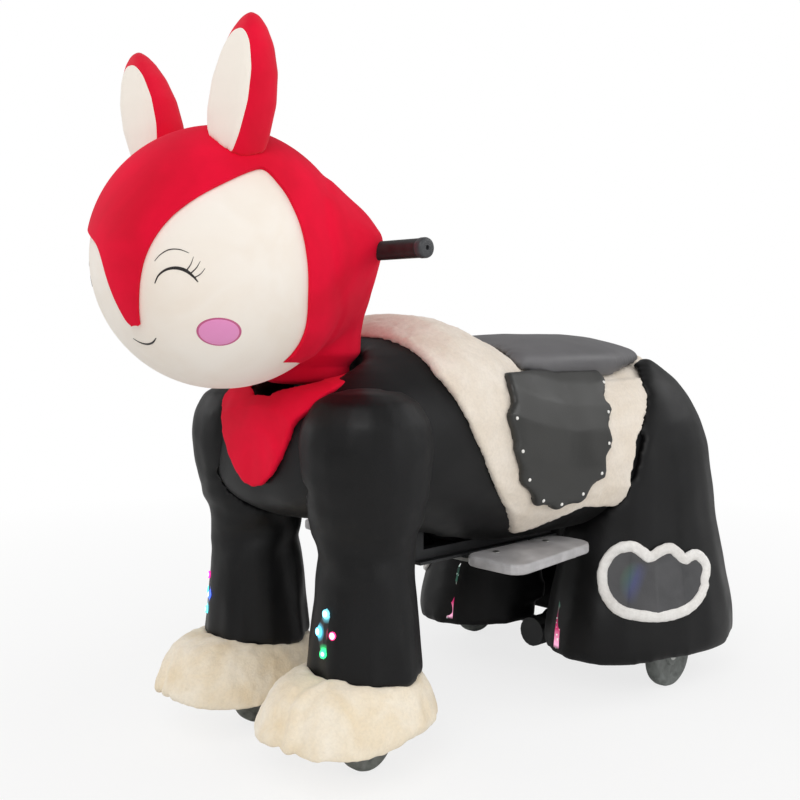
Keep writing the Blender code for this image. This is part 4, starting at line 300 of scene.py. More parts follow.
# Grips: black foam rubber sleeves, pushed on the ends of the handlebar.
# Each has a flange, a groove and a rounded grey end with its air hole.
grey_end_from, sleeve_share = 0.2705, 0.815
foam, tree, shader, place, tone = finish("foam rubber", "#151314", "#211F20",
                                         cloud=0.02, grain=0.0011, relief=0.00008, rough=(0.36, 0.5),
                                         pattern="TexVoronoi")
outward = add_node(tree, "SeparateXYZ", None, {"Vector": place})
reach = add_node(tree, "Math", {"operation": "ABSOLUTE"}, {0: outward.outputs["X"]})
capped = add_node(tree, "Math", {"operation": "GREATER_THAN", 1: grey_end_from}, {0: reach.outputs[0]})
ended = add_node(tree, "Mix", {"data_type": "RGBA", 7: linear("#3A3B3E")},
                 {"Factor": capped.outputs[0], 6: tone.outputs["Color"]})
tree.links.new(ended.outputs[2], shader.inputs["Base Color"])
for node, side in pair("grip"):
    low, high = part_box(node)
    bar = Vector((0, column_y, (low[2] + high[2]) / 2))
    inner, outer = sorted((abs(low[0]), abs(high[0])))
    flare = (high[2] - low[2]) / 2
    sleeve = flare * sleeve_share
    # along the bar, out from its middle
    outline = [(inner, flare * 0.64), (inner, sleeve * 1.05), (inner + 0.0015, sleeve * 1.1),
               (inner + 0.0045, sleeve * 1.1), (inner + 0.0065, sleeve), (outer - 0.0155, sleeve),
               (outer - 0.0150, sleeve * 0.95), (outer - 0.0142, sleeve * 0.95),
               (outer - 0.0136, sleeve * 1.03), (outer - 0.0120, sleeve * 1.06),
               (outer - 0.0040, sleeve * 1.06), (outer - 0.0014, sleeve),
               (outer - 0.0003, sleeve * 0.88), (outer, sleeve * 0.7), (outer, flare * 0.2),
               (outer - 0.003, flare * 0.16), (outer - 0.004, flare * 0.64)]
    grip = turned([(side * a, r) for a, r in outline], bar, (1, 0, 0), 48)
    piece_from(grip, node + "_foam", foam, "steering", "black_rubber", node)

# Go button: a green moulded ABS cap by the right grip, under the hood.
# It sinks 3 mm into the housing on the handlebar.
green = finish("green moulded ABS", "#158C3A", "#27B354", cloud=0.005, grain=0.0008, relief=0.00003,
               rough=(0.25, 0.35))[0]
dress(green, "go_button")


# Torso: black satin plush, sewn in one cover over foam and drawn tight at the shoulders.
# The short pile is near black and throws back a soft broad grey shine.
def stuffed_copy(node, name, material, body, slot_name, mesh_size, rounds, swell=0.0):
    """A padded piece in the space of a CAD solid, evenly meshed, with the facets smoothed away."""
    bm = bmesh.new()
    bm.from_mesh(frame["nodes"][node].data)
    bmesh.ops.remove_doubles(bm, verts=bm.verts, dist=weld_distance)
    piece = piece_from(bm, name, material, body, slot_name, node)
    even_out(piece, mesh_size, rounds)
    points, normals = points_and_normals(piece)
    set_points(piece, points + normals * swell)
    return piece


def even_out(piece, mesh_size, rounds):
    """Meshes a piece evenly and smooths it in rounds."""
    remesh = piece.modifiers.new("even_mesh", "REMESH")
    remesh.mode = "VOXEL"
    remesh.voxel_size = mesh_size
    smooth = piece.modifiers.new("smooth", "SMOOTH")
    smooth.factor = 0.5
    smooth.iterations = rounds
    settle(piece)


def final_mesh(drawn):
    """An object's mesh as its modifiers leave it."""
    return bpy.data.meshes.new_from_object(drawn.evaluated_get(bpy.context.evaluated_depsgraph_get()))


def settle(piece):
    """Applies a piece's modifiers to its mesh."""
    material = piece.data.materials[0]
    baked = final_mesh(piece)
    piece.modifiers.clear()
    piece.data = baked
    baked.materials.clear()
    baked.materials.append(material)
    baked.shade_smooth()


def points_and_normals(piece):
    """A piece's points and the way the surface faces at each, as arrays."""
    mesh = piece.data
    points, normals = np.empty((2, len(mesh.vertices) * 3))
    mesh.vertices.foreach_get("co", points)
    mesh.vertex_normals.foreach_get("vector", normals)
    return points.reshape(-1, 3), normals.reshape(-1, 3)


def set_points(piece, points):
    """Puts a piece's points where an array says."""
    piece.data.vertices.foreach_set("co", points.ravel())
    piece.data.update()


def lumps(points, size, offset=0.0):
    """Smooth noise from -1 to 1 at each point, with lumps of about a size in metres."""
    return np.array([noise.noise(Vector(p) / size + Vector((offset, offset, offset))) for p in points])


def fine(piece):
    """Rounds a piece off with one level of subdivision."""
    finer = piece.modifiers.new("finer", "SUBSURF")
    finer.levels = 1
    finer.render_levels = 1


# the pile is drawn coarser than its 1 mm, so that it shows
satin, tree, shader, place, tone = finish("black satin plush", "#050506", "#0C0C0E",
                                          cloud=0.11, grain=0.0018, relief=0.0002, rough=(0.4, 0.55))
shader.inputs["Sheen Weight"].default_value = 0.02
shader.inputs["Sheen Roughness"].default_value = 0.4
shader.inputs["Specular IOR Level"].default_value = 0.28
torso = stuffed_copy("torso", "torso_plush", satin, "carriage", "black_plush",
                     mesh_size=0.012, rounds=14, swell=0.0025)
broad_fold, narrow_fold = 0.0028, 0.0010
points, normals = points_and_normals(torso)
wrinkle = broad_fold * lumps(points * (1.0, 0.7, 1.3), 0.08) + narrow_fold * lumps(points, 0.035, 3.0)
set_points(torso, points + normals * wrinkle[:, None])
fine(torso)

# Front legs: trouser-like tubes of the same plush over foam, drawn in at the knee.
# Their hems flare and hang in shallow waves over the boots.
leg_middle = joint_place["fork_turn_left"].x
hem_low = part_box("front_leg_left")[0][2]
bore_radius = 0.045
hem_reach, hem_wave, hem_ripple = 0.12, 0.0035, 0.002
# heights above the hem, how far each spreads, how deep it folds
knee_height, knee_spread, knee_fold = 0.19, 0.035, 0.003
slack_height, slack_spread, slack_fold = 0.24, 0.12, 0.0030
shoulder_start, shoulder_rise, shoulder_draw = 0.28, 0.175, 0.6
for node, side in pair("front_leg"):
    low, high = np.array(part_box(node))
    shoulder = (low[:2] + high[:2]) / 2
    leg = stuffed_copy(node, node + "_plush", satin, "carriage", "black_plush",
                       mesh_size=0.006, rounds=10, swell=0.0020)
    points, normals = points_and_normals(leg)
    across, back = side * (points[:, 0] - side * leg_middle), points[:, 1] - column_y
    around = np.arctan2(back, across)
    up = points[:, 2] - hem_low
    near_hem = np.clip(1 - up / hem_reach, 0, 1)
    knee = np.exp(-((up - knee_height) / knee_spread) ** 2)
    slack = np.clip(1 - np.abs(up - slack_height) / slack_spread, 0, 1)
    move = near_hem * (hem_wave * np.sin(around * 5 + side) + hem_ripple * np.sin(around * 9 + 1.0))
    move += knee * knee_fold * np.sin(around * 3 + up * 60) + 0.0016 * lumps(points, 0.05)
    move += slack * slack_fold * lumps(points * (1, 1, 2.4), 0.055, 7.0)
    outer_wall = np.hypot(across, back) > bore_radius
    points = points + normals * (move * outer_wall)[:, None]
    dome = np.sqrt(1 - shoulder_draw * np.clip((up - shoulder_start) / shoulder_rise, 0, 1) ** 2)
    points[:, :2] = shoulder + (points[:, :2] - shoulder) * dome[:, None]
    set_points(leg, points)
    fine(leg)

# Hind legs: wide bells of the same plush that hang free over the driven wheels.
# The bottom edge is hemmed and sways in and out.
haunch_middle = (0.172, joint_place["rear_axle_spin"].y + 0.0304)
hem_reach, hem_fade, hem_sway = 0.22, 1.3, 0.0034
for node, side in pair("hind_leg"):
    leg = stuffed_copy(node, node + "_plush", satin, "carriage", "black_plush",
                       mesh_size=0.009, rounds=10, swell=0.0045)
    points, normals = points_and_normals(leg)
    out = points[:, :2] - (side * haunch_middle[0], haunch_middle[1])
    around = np.arctan2(out[:, 1], side * out[:, 0])
    up = points[:, 2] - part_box(node)[0][2]
    near_hem = np.clip(1 - up / hem_reach, 0, 1) ** hem_fade
    outward = np.einsum("ij,ij->i", normals[:, :2], out) > 0
    move = near_hem * hem_sway * np.sin(around * 4 + 0.6) + 0.0020 * lumps(points, 0.07)
    set_points(leg, points + normals * (move * outward)[:, None])
    fine(leg)


# Boots: cream fleece shoes with a soft rounded toe, open below for the castor wheels.
# The pile is combed flat and creased down the front, with a painted tan shade between its tufts.
def fleece_cloth(name, dark, light):
    """A long pile, 4 mm tufts in clumps, with painted shade darkening it between the tufts."""
    made, tree, shader, place, tone = finish(name, dark, light, cloud=0.06, grain=0.004, relief=0.0007,
                                             rough=(0.92, 0.98))
    # painted shade: the colour darkens between the tufts
    tufts = add_node(tree, "TexNoise", {"Scale": 1 / 0.005, "Detail": 4, "Distortion": 0.5},
                     {"Vector": place})
    deep = add_node(tree, "MapRange", {"From Min": 0.3, "From Max": 0.6, "To Min": 0.93, "To Max": 1.0},
                    {"Value": tufts.outputs[0]})
    shaded = add_node(tree, "VectorMath", {"operation": "SCALE"},
                      {0: tone.outputs["Color"], "Scale": deep.outputs["Result"]})
    tree.links.new(shaded.outputs["Vector"], shader.inputs["Base Color"])
    shader.inputs["Specular IOR Level"].default_value = 0.1
    shader.inputs["Sheen Weight"].default_value = 0.2
    shader.inputs["Sheen Roughness"].default_value = 0.6
    return made


boot_fleece = fleece_cloth("cream boot fleece", "#F1DFC0", "#FAF0DE")
# azimuth from the front in degrees, height of the hem
boot_hem = ((0, 0.094), (12, 0.087), (21, 0.082), (41, 0.077), (60, 0.078), (80, 0.086), (110, 0.088),
            (180, 0.084))
hem_reach, opening_radius = 0.05, 0.068
toe_length, toe_fade = 0.14, 0.12
# two creases down the toe and the ridge between them: offset outwards, half width, share of the depth
crease_offset, crease_depth = 0.018, 0.007
toe_creases = ((0.0, 0.006, 1.0), (0.028, 0.006, 0.6), (0.014, 0.009, -0.5))
for node, side in pair("boot"):
    boot = stuffed_copy(node, node + "_fleece", boot_fleece, "carriage", "boot_plush",
                        mesh_size=0.006, rounds=7, swell=0.0020)
    points, normals = points_and_normals(boot)
    low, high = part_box(node)
    azimuth = np.degrees(np.abs(np.arctan2(points[:, 0] - side * leg_middle, column_y - points[:, 1])))
    lift = np.interp(azimuth, *np.array(boot_hem).T) - low[2]
    points[:, 2] += lift * np.clip(1 - (points[:, 2] - low[2]) / hem_reach, 0, 1)
    front = np.clip((low[1] + toe_length - points[:, 1]) / toe_fade, 0, 1)
    across = points[:, 0] - (low[0] + high[0]) / 2 - side * crease_offset - 0.006 * np.sin(points[:, 2] * 70)
    crease = -crease_depth * front * sum(share * np.exp(-((across - offset) / half_width) ** 2)
                                         for offset, half_width, share in toe_creases)
    pile = 0.0030 * lumps(points, 0.024, 5.0) + 0.0014 * lumps(points, 0.010, 9.0)
    outer_wall = np.hypot(points[:, 0] - side * leg_middle, points[:, 1] - column_y) > opening_radius
    set_points(boot, points + normals * ((crease + pile) * outer_wall)[:, None])
    fine(boot)

# Saddle pad: a cream fleece blanket, sewn to the back and hanging down both flanks.
# Its cut edge is thick and a little ragged, and the seat presses the pile down.
seat_press, press_margin, press_fade, press_below = 0.007, 0.004, 0.012, 0.02
pad_fleece = fleece_cloth("cream pad fleece", "#E6D9C8", "#F0E6D9")
pad = stuffed_copy("saddle_pad", "saddle_pad_fleece", pad_fleece, "carriage", "cream_plush",
                   mesh_size=0.0045, rounds=4, swell=0.0012)
points, normals = points_and_normals(pad)
ragged = 0.0016 * lumps(points, 0.010, 2.0) + 0.0014 * lumps(points, 0.05)
seat_low, seat_high = np.array(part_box("seat_cushion"))
inset = np.minimum(points[:, :2] - seat_low[:2], seat_high[:2] - points[:, :2]).min(axis=1)
pressed = np.clip((inset + press_margin) / press_fade, 0, 1) * (points[:, 2] > seat_low[2] - press_below)
points = points + normals * (ragged * (1 - pressed))[:, None]
points[:, 2] -= pressed * seat_press
set_points(pad, points)

# Seat: a crowned foam cushion in dark grey leatherette, with its seat board below.
# The cover's top is drawn over the edge.
leatherette = finish("dark grey leatherette", "#565557", "#676668", cloud=0.08, grain=0.0024, relief=0.00012,
                     rough=(0.42, 0.6), pattern="TexVoronoi")[0]
seat = stuffed_copy("seat_cushion", "seat_cushion_leatherette", leatherette, "carriage", "seat_leatherette",
                    mesh_size=0.006, rounds=8, swell=0.0034)
points, normals = points_and_normals(seat)
set_points(seat, points + normals * (0.0014 * lumps(points, 0.06))[:, None])
fine(seat)

# Side panels: charcoal leatherette flaps, lightly padded, with a scalloped edge.
# Ten white-headed studs hold each edge to the blanket.
charcoal = finish("charcoal leatherette", "#252523", "#333331", cloud=0.1, grain=0.0024, relief=0.00012,
                  rough=(0.4, 0.58), pattern="TexVoronoi")[0]
enamel = finish("white enamelled stud", "#E8E6E0", "#FBFAF6", cloud=0.01, grain=0.0009, relief=0.00003,
                rough=(0.2, 0.35))[0]
# back from the steering column, height
stud_places = ((0.236, 0.5595), (0.247, 0.504), (0.267, 0.454), (0.308, 0.4135), (0.361, 0.401),
               (0.416, 0.4135), (0.465, 0.446), (0.489, 0.4985), (0.503, 0.554), (0.531, 0.606))
stud_radius, stud_rise = 0.0032, 0.0022
# each scallop bulges the edge round a point a little outside its stud
scallop_out, scallop_reach, scallop_depth = 0.006, 0.014, 0.006
for node, side in pair("side_panel"):
    panel = stuffed_copy(node, node + "_leatherette", charcoal, "carriage", "panel_leatherette",
                         mesh_size=0.005, rounds=4, swell=0.0016)
    points, normals = points_and_normals(panel)
    points = points + normals * (0.0009 * lumps(points, 0.05))[:, None]
    studs_at = np.array(stud_places) + (column_y, 0)
    outward = studs_at - studs_at.mean(axis=0)
    outward /= np.linalg.norm(outward, axis=1)[:, None]
    for stud_at, direction in zip(studs_at, outward):
        away = np.linalg.norm(points[:, 1:] - stud_at - direction * scallop_out, axis=1)
        points[:, 1:] += direction * (scallop_depth * np.exp(-(away / scallop_reach) ** 2))[:, None]
    set_points(panel, points)
    fine(panel)
    skin = BVHTree.FromObject(panel, bpy.context.evaluated_depsgraph_get())
    studs = bmesh.new()
    for back, height in stud_places:
        outside = Vector((side, column_y + back, height))
        place, normal = skin.ray_cast(outside, Vector((-side, 0, 0)))[:2]
        if place:
            upright = Matrix.Translation(place) @ normal.to_track_quat("Z", "Y").to_matrix().to_4x4()
            domed = Matrix.Diagonal((stud_radius, stud_radius, stud_rise, 1))
            bmesh.ops.create_uvsphere(studs, u_segments=16, v_segments=8, radius=1, matrix=upright @ domed)
    piece_from(studs, node + "_studs", enamel, "carriage", "light_lens")


# Head: a foam ball in cream velour, glued to the head board, which turns with the column.
# It is a true ball where it shows.
def velour_cloth(name, dark, light):
    """A shaved pile with a soft bloom; the pile is drawn coarser than its 1 mm, so that it shows."""
    made, tree, shader, place, tone = finish(name, dark, light, cloud=0.1, grain=0.0016, relief=0.00012,
                                             rough=(0.8, 0.9))
    shader.inputs["Specular IOR Level"].default_value = 0.18
    shader.inputs["Sheen Weight"].default_value = 0.12
    return made, tree, shader, place, tone


velour = velour_cloth("cream velour", "#F2E7DA", "#F8F1E8")[0]
low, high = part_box("head")
ball_radius = (high[0] - low[0]) / 2
ball_rise = 0.357
ball = Vector((0, low[1] + ball_radius, joint_place["steering_turn"].z + ball_rise))


def made_round(points, radius, slack):
    """Points near a sphere round the head's middle are drawn onto it, the nearest ones fully."""
    offset = points - np.array(ball)
    distance = np.linalg.norm(offset, axis=1)
    pull = np.clip(2 - np.abs(distance - radius) / slack, 0, 1)
    return points + offset * (pull * (radius / distance - 1))[:, None]


head = stuffed_copy("head", "head_velour", velour, "steering", "cream_plush",
                    mesh_size=0.007, rounds=5, swell=0.0008)
set_points(head, made_round(points_and_normals(head)[0], ball_radius, 0.005))
fine(head)


# Hood: red velour drawn over the crown, swept across the brow to a fringe, and back over the handlebar.
# It is sewn from one cloth and cut out round the two cheeks.
def on_ball(azimuth, elevation, proud=0.0):
    """A point on the head by its degrees round from the front towards the left, and up."""
    turn, rise = radians(azimuth), radians(elevation)
    return ball + Vector((sin(turn) * cos(rise), -cos(turn) * cos(rise), sin(rise))) * (ball_radius + proud)


def rounded_loop(points, rounds=2):
    """A closed run of points with its corners cut."""
    for _ in range(rounds):
        ahead = points[1:] + points[:1]
        points = [a.lerp(b, share) for a, b in zip(points, ahead) for share in (0.25, 0.75)]
    return points


wedge_depth = 0.06


def cutting_wedge(name, reach, outline):
    """A wedge whose sides run out from the ball's middle to a reach, along an outline in degrees."""
    bm = bmesh.new()
    loop = rounded_loop([on_ball(azimuth, elevation, -wedge_depth) for azimuth, elevation in outline])
    ring = [bm.verts.new(place) for place in loop]
    edges = [bm.edges.new((ring[i], ring[(i + 1) % len(ring)])) for i in range(len(ring))]
    spread = bmesh.ops.extrude_edge_only(bm, edges=edges)["geom"]
    spreading = reach / (ball_radius - wedge_depth)
    bmesh.ops.scale(bm, vec=(spreading, spreading, spreading), space=Matrix.Translation(-ball),
                    verts=[part for part in spread if isinstance(part, bmesh.types.BMVert)])
    caps = bmesh.ops.holes_fill(bm, edges=bm.edges, sides=0)["faces"]
    radii = [(cap.verts[0].co - ball).length for cap in caps]
    for middle, radius in zip(bmesh.ops.poke(bm, faces=caps)["verts"], radii):
        middle.co = ball + (middle.co - ball).normalized() * radius
    bmesh.ops.recalc_face_normals(bm, faces=bm.faces)
    return bpy.data.objects.new(name, mesh_of(bm, name))


# azimuth and elevation on the ball, in degrees
fringe_left_edge = ((14.6, -28.4), (19.0, -16.6), (21.3, -9.3), (24.3, -1.5), (28.7, 6.2), (34.4, 13.3),
                    (39.9, 18.2), (47.2, 23.4), (57.5, 29.1), (69.4, 35.2))
fringe_right_edge = ((10.0, -29.6), (7.6, -28.0), (6.4, -24.0), (5.0, -18.9), (2.9, -10.5), (0.2, -1.5),
                     (-4.0, 4.5), (-13.0, 8.5), (-28.0, 13.0), (-45.0, 20.0), (-62.0, 29.0))
cheek_edge = ((77.0, 37.9), (80.5, 35.2), (83.2, 30.5), (85.9, 25.9), (88.0, 19.7), (90.0, 13.1), (91.4, 6.5),
              (92.5, -0.5), (93.8, -8.0), (95.2, -16.3), (97.6, -23.8), (100.6, -31.9), (102.4, -41.0),
              (101.3, -49.8), (96.5, -57.9), (86.0, -63.5), (68.0, -68.5), (40.0, -73.0))
# how far from the ball's middle a cut goes: past the loose cloth, or only past the shell on the ball
past_cloth, past_shell = 0.30, 0.213
openings = (("left_cheek", past_cloth, fringe_left_edge + cheek_edge
             + ((16.0, -70.0), (12.0, -52.0), (11.5, -36.0))),
            ("right_cheek", past_cloth, fringe_right_edge + tuple((-a, e) for a, e in cheek_edge)
             + ((-10.0, -72.0), (8.0, -60.0), (9.5, -40.0))),
            ("chin", past_shell, ((-34.0, -40.0), (-8.0, -36.0), (6.0, -31.0), (10.0, -29.3), (14.6, -29.2),
                                  (20.0, -32.0), (34.0, -40.0), (56.0, -66.0), (70.0, -79.0), (0.0, -84.0),
                                  (-70.0, -79.0), (-56.0, -66.0))),
            ("under_chin", past_shell, tuple((azimuth, -67.0) for azimuth in range(0, 360, 24))))

red_velour, tree, shader, place, tone = velour_cloth("red velour", "#D60029", "#EC0634")
shader.inputs["Sheen Tint"].default_value = linear("#FF5C80")
crown_radius = ball_radius + 0.006
bar_pull, bar_spread = 0.008, 0.032
# where the taut drape ends and where the foot of the cloth begins, how far that tucks in and lifts
drape_foot, foot_height, foot_tuck, foot_lift = 0.70, 0.665, 0.018, 0.35
bm = bmesh.new()
bm.from_mesh(frame["nodes"]["hood"].data)
bmesh.ops.remove_doubles(bm, verts=bm.verts, dist=weld_distance)
drape = bm.copy()
low_cloth = [vert for vert in drape.verts if vert.co.z < drape_foot]
bmesh.ops.delete(drape, geom=low_cloth, context="VERTS")
bmesh.ops.create_icosphere(drape, subdivisions=3, radius=crown_radius, matrix=Matrix.Translation(ball))
hull = bmesh.ops.convex_hull(drape, input=drape.verts)
bmesh.ops.delete(drape, geom=[part for part in hull["geom_interior"] + hull["geom_unused"]
                              if isinstance(part, bmesh.types.BMVert)], context="VERTS")
bm.from_mesh(mesh_of(drape, "drape"))
bmesh.ops.create_icosphere(bm, subdivisions=5, radius=crown_radius, matrix=Matrix.Translation(ball))
hood = piece_from(bm, "hood_velour", red_velour, "steering", "red_plush", "hood")
even_out(hood, mesh_size=0.0065, rounds=14)
points, normals = points_and_normals(hood)
points = made_round(points + normals * 0.0015, crown_radius, 0.0025)
bar_height = (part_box("grip_left")[0][2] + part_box("grip_left")[1][2]) / 2
drawn = np.exp(-(np.hypot(points[:, 1] - column_y, points[:, 2] - bar_height) / bar_spread) ** 2)
points[:, 0] += bar_pull * drawn * np.sign(points[:, 0]) * np.clip((np.abs(points[:, 0]) - 0.12) / 0.05, 0, 1)
from_column = points[:, :2] - (0, column_y)
tuck = foot_tuck * np.clip((foot_height - points[:, 2]) / 0.03, 0, 1)
points[:, :2] -= from_column * (tuck / np.maximum(np.linalg.norm(from_column, axis=1), 0.05))[:, None]
points[:, 2] += foot_lift * np.clip(foot_height - points[:, 2], 0, 1)
fold = np.clip((np.linalg.norm(points - np.array(ball), axis=1) - crown_radius) / 0.02, 0, 1)
fold *= np.clip((points[:, 2] - foot_height + 0.02) / 0.04, 0, 1)
set_points(hood, points + normals * (fold * 0.0022 * lumps(points * (1, 1, 0.5), 0.035, 4.0))[:, None])
fine(hood)
settle(hood)
bm = bmesh.new()
bmesh.ops.create_icosphere(bm, subdivisions=5, radius=ball_radius + 0.0006, matrix=Matrix.Translation(ball))
cutters = [bpy.data.objects.new("hood_inside", mesh_of(bm, "hood_inside"))]
cutters += [cutting_wedge(*opening) for opening in openings]
for cutter in cutters:
    scene.collection.objects.link(cutter)
    cut = hood.modifiers.new(cutter.name, "BOOLEAN")
    cut.operation = "DIFFERENCE"
    cut.solver = "MANIFOLD"
    cut.object = cutter
settle(hood)
for cutter in cutters:
    bpy.data.objects.remove(cutter)
hood.data.set_sharp_from_angle(angle=radians(50))


# Face: eyes closed in a smile, brows, a small mouth and two blush patches, embroidered on the ball.
# The black thread is satin stitch, raised up to a millimetre; the pink patches are padded velour.
def curve_mesh(curve):
    """The surface of a bevelled curve."""
    drawing = bpy.data.objects.new(curve.name + "_path", curve)
    scene.collection.objects.link(drawing)
    bm = bmesh.new()
    bm.from_mesh(final_mesh(drawing))
    bpy.data.objects.remove(drawing)
    return bm


thread_proud, thread_flatness = 0.0002, 0.3


def stitched(name, lines):
    """Flat raised lines on the ball, each a run of (azimuth, elevation, width in mm)."""
    thread_path = bpy.data.curves.new(name, "CURVE")
    thread_path.dimensions = "3D"
    thread_path.bevel_depth = 0.001 / 2
    thread_path.bevel_resolution = 2
    thread_path.use_fill_caps = True
    for line in lines:
        azimuths, elevations, widths = np.array(line).T
        rows = np.linspace(0, len(line) - 1, 8 * (len(line) - 1) + 1)
        knots = np.arange(len(line))
        run = thread_path.splines.new("POLY")
        run.points.add(len(rows) - 1)
        for spot, at in zip(run.points, rows):
            start = int(min(at, len(line) - 1.001))
            shares = [max(start - 1, 0), start, start + 1, min(start + 2, len(line) - 1)]
            t = at - start
            # a smooth run through every point
            weights = (-0.5 * t + t * t - 0.5 * t ** 3, 1 - 2.5 * t * t + 1.5 * t ** 3,
                       0.5 * t + 2 * t * t - 1.5 * t ** 3, -0.5 * t * t + 0.5 * t ** 3)
            azimuth = sum(w * azimuths[i] for w, i in zip(weights, shares))
            elevation = sum(w * elevations[i] for w, i in zip(weights, shares))
            spot.co = (*on_ball(azimuth, elevation), 1)
            spot.radius = float(np.interp(at, knots, widths))
    bm = curve_mesh(thread_path)
    for vert in bm.verts:
        offset = vert.co - ball
        rise = thread_proud + (offset.length - ball_radius) * thread_flatness
        vert.co = ball + offset.normalized() * (ball_radius + rise)
    piece_from(bm, name, thread, "steering", "black_plush")


thread = finish("black satin stitch", "#17110F", "#231C1A", cloud=0.02, grain=0.0012, relief=0.0002,
                rough=(0.35, 0.5), pattern="TexWave")[0]
eye_line = ((27.6, -12.0, 1.6), (29.8, -8.8, 2.4), (33.4, -6.6, 3.4), (37.5, -6.0, 4.6), (41.3, -7.0, 5.0),
            (44.2, -9.2, 3.4), (46.2, -11.6, 1.4))
lid_line = ((28.4, -3.2, 0.8), (31.2, -0.6, 1.3), (35.0, 1.2, 1.6), (39.2, 1.2, 1.3), (43.0, -0.2, 0.8))
lashes = (((41.8, -7.0, 1.8), (43.6, -4.6, 1.4), (44.8, -1.6, 0.5)),
          ((43.4, -8.2, 1.8), (45.8, -6.0, 1.4), (47.4, -3.4, 0.5)),
          ((44.9, -9.8, 1.6), (47.4, -8.4, 1.2), (49.2, -6.2, 0.5)))
mouth_line = ((2.0, -36.6, 1.2), (6.0, -38.8, 2.8), (11.0, -39.6, 3.4), (16.0, -38.6, 2.8),
              (20.0, -36.2, 1.2))
for name, side in pair("eye"):
    stitched(name, [[(side * azimuth, elevation, width) for azimuth, elevation, width in line]
                    for line in (eye_line, lid_line, *lashes)])
stitched("mouth", [mouth_line])

pink = velour_cloth("pink velour", "#E08ABD", "#E99BCB")[0]
pink_edge = velour_cloth("deep pink stitching", "#B8577F", "#C9688F")[0]
# in degrees on the ball
blush_azimuth, blush_elevation, blush_half_width, blush_half_height = 54.0, -33.4, 9.1, 6.9
for name, side in pair("blush"):
    for part, cloth, grow, proud in (("rim", pink_edge, 1.0, 0.0011), ("patch", pink, 0.92, 0.0022)):
        bm = bmesh.new()
        bmesh.ops.create_uvsphere(bm, u_segments=48, v_segments=24, radius=1)
        for vert in bm.verts:
            x, y, z = vert.co
            round_by = x * grow * blush_half_width / cos(radians(blush_elevation))
            vert.co = on_ball(side * (blush_azimuth + round_by),
                              blush_elevation + y * grow * blush_half_height, z * proud)
        piece_from(bm, f"{name}_{part}", cloth, "steering", "red_plush")

# Bib: the hood's red velour again, lightly padded and sewn to the chest under the chin.
# It hangs in a blunt wavy point, and its collar stays below the turning hood.
collar_from, collar_drop = 0.61, 0.4
hang_below, hang_fade = foot_height - 0.03, 0.05
bib = stuffed_copy("bib", "bib_velour", red_velour, "carriage", "red_plush",
                   mesh_size=0.0035, rounds=5, swell=-0.0008)
points, normals = points_and_normals(bib)
points[:, 2] -= collar_drop * np.clip(points[:, 2] - collar_from, 0, 1)
hanging = np.clip((hang_below - points[:, 2]) / hang_fade, 0, 1)
fullness = hanging * (0.0016 + 0.0018 * lumps(points * (1, 1, 0.4), 0.03, 6.0))
set_points(bib, points + normals * fullness[:, None])
fine(bib)

# Ears: stuffed red velour backs with a cream lining sewn in at the front.
# The seam runs up each side, ahead of the ear's middle, and ends short of the tip.
lined, tree, shader, place, tone = velour_cloth("red velour with a cream lining", "#D60029", "#EC0634")
ear_low, ear_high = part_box("ear_left")
ear_middle, lining_ahead = (ear_low[1] + ear_high[1]) / 2, 0.0245
parts = add_node(tree, "SeparateXYZ", None, {"Vector": place})
lining = add_node(tree, "Math", {"operation": "LESS_THAN", 1: ear_middle - lining_ahead},
                  {0: parts.outputs["Y"]})
two_tone = add_node(tree, "Mix", {"data_type": "RGBA", 7: linear("#F6EEE3")},
                    {"Factor": lining.outputs[0], 6: tone.outputs["Color"]})
tree.links.new(two_tone.outputs[2], shader.inputs["Base Color"])
for node in ("ear_left", "ear_right"):
    fine(stuffed_copy(node, node + "_velour", lined, "steering", "red_plush",
                      mesh_size=0.004, rounds=6, swell=0.0016))

# Paw badges: dark grey leatherette pads on the haunches, framed by a rolled strip of white fleece.
# A faint rainbow reflection is painted into the pad's colour at its front.
painted_rainbow_leatherette, tree, shader, place, tone = finish("dark leatherette with a painted rainbow reflection", "#3C3C3E", "#4B4B4D",
                                         cloud=0.05, grain=0.0024, relief=0.0001, rough=(0.35, 0.5),
                                         pattern="TexVoronoi")
white_fleece = fleece_cloth("white fleece", "#E4E0DB", "#FAF8F5")
# the strip's radius, how flat it lies, and the line it follows inside the pad's outline
trim_radius, trim_flattened, trim_across, trim_up, trim_sunk = 0.0112, 0.45, 0.925, 0.87, 0.002
# shares by which the pad is drawn in under the strip
pad_narrowed, pad_lowered = 0.07, 0.10
badge_turn, badge_shift, badge_width, badge_height, badge_foot = radians(70), -0.060, 0.249, 0.153, 0.155
# across, up, round the pad
badge_shares = ((0.01, 0.61), (0.04, 0.76), (0.12, 0.94), (0.23, 1.00), (0.31, 0.93), (0.38, 0.80),
                (0.47, 0.90), (0.58, 0.94), (0.65, 0.86), (0.72, 0.73), (0.81, 0.78), (0.88, 0.79),
                (0.97, 0.68), (1.00, 0.53), (0.94, 0.40), (0.94, 0.30), (0.84, 0.14), (0.69, 0.05),
                (0.51, 0.00), (0.30, 0.02), (0.10, 0.09), (0.03, 0.23), (0.00, 0.41))
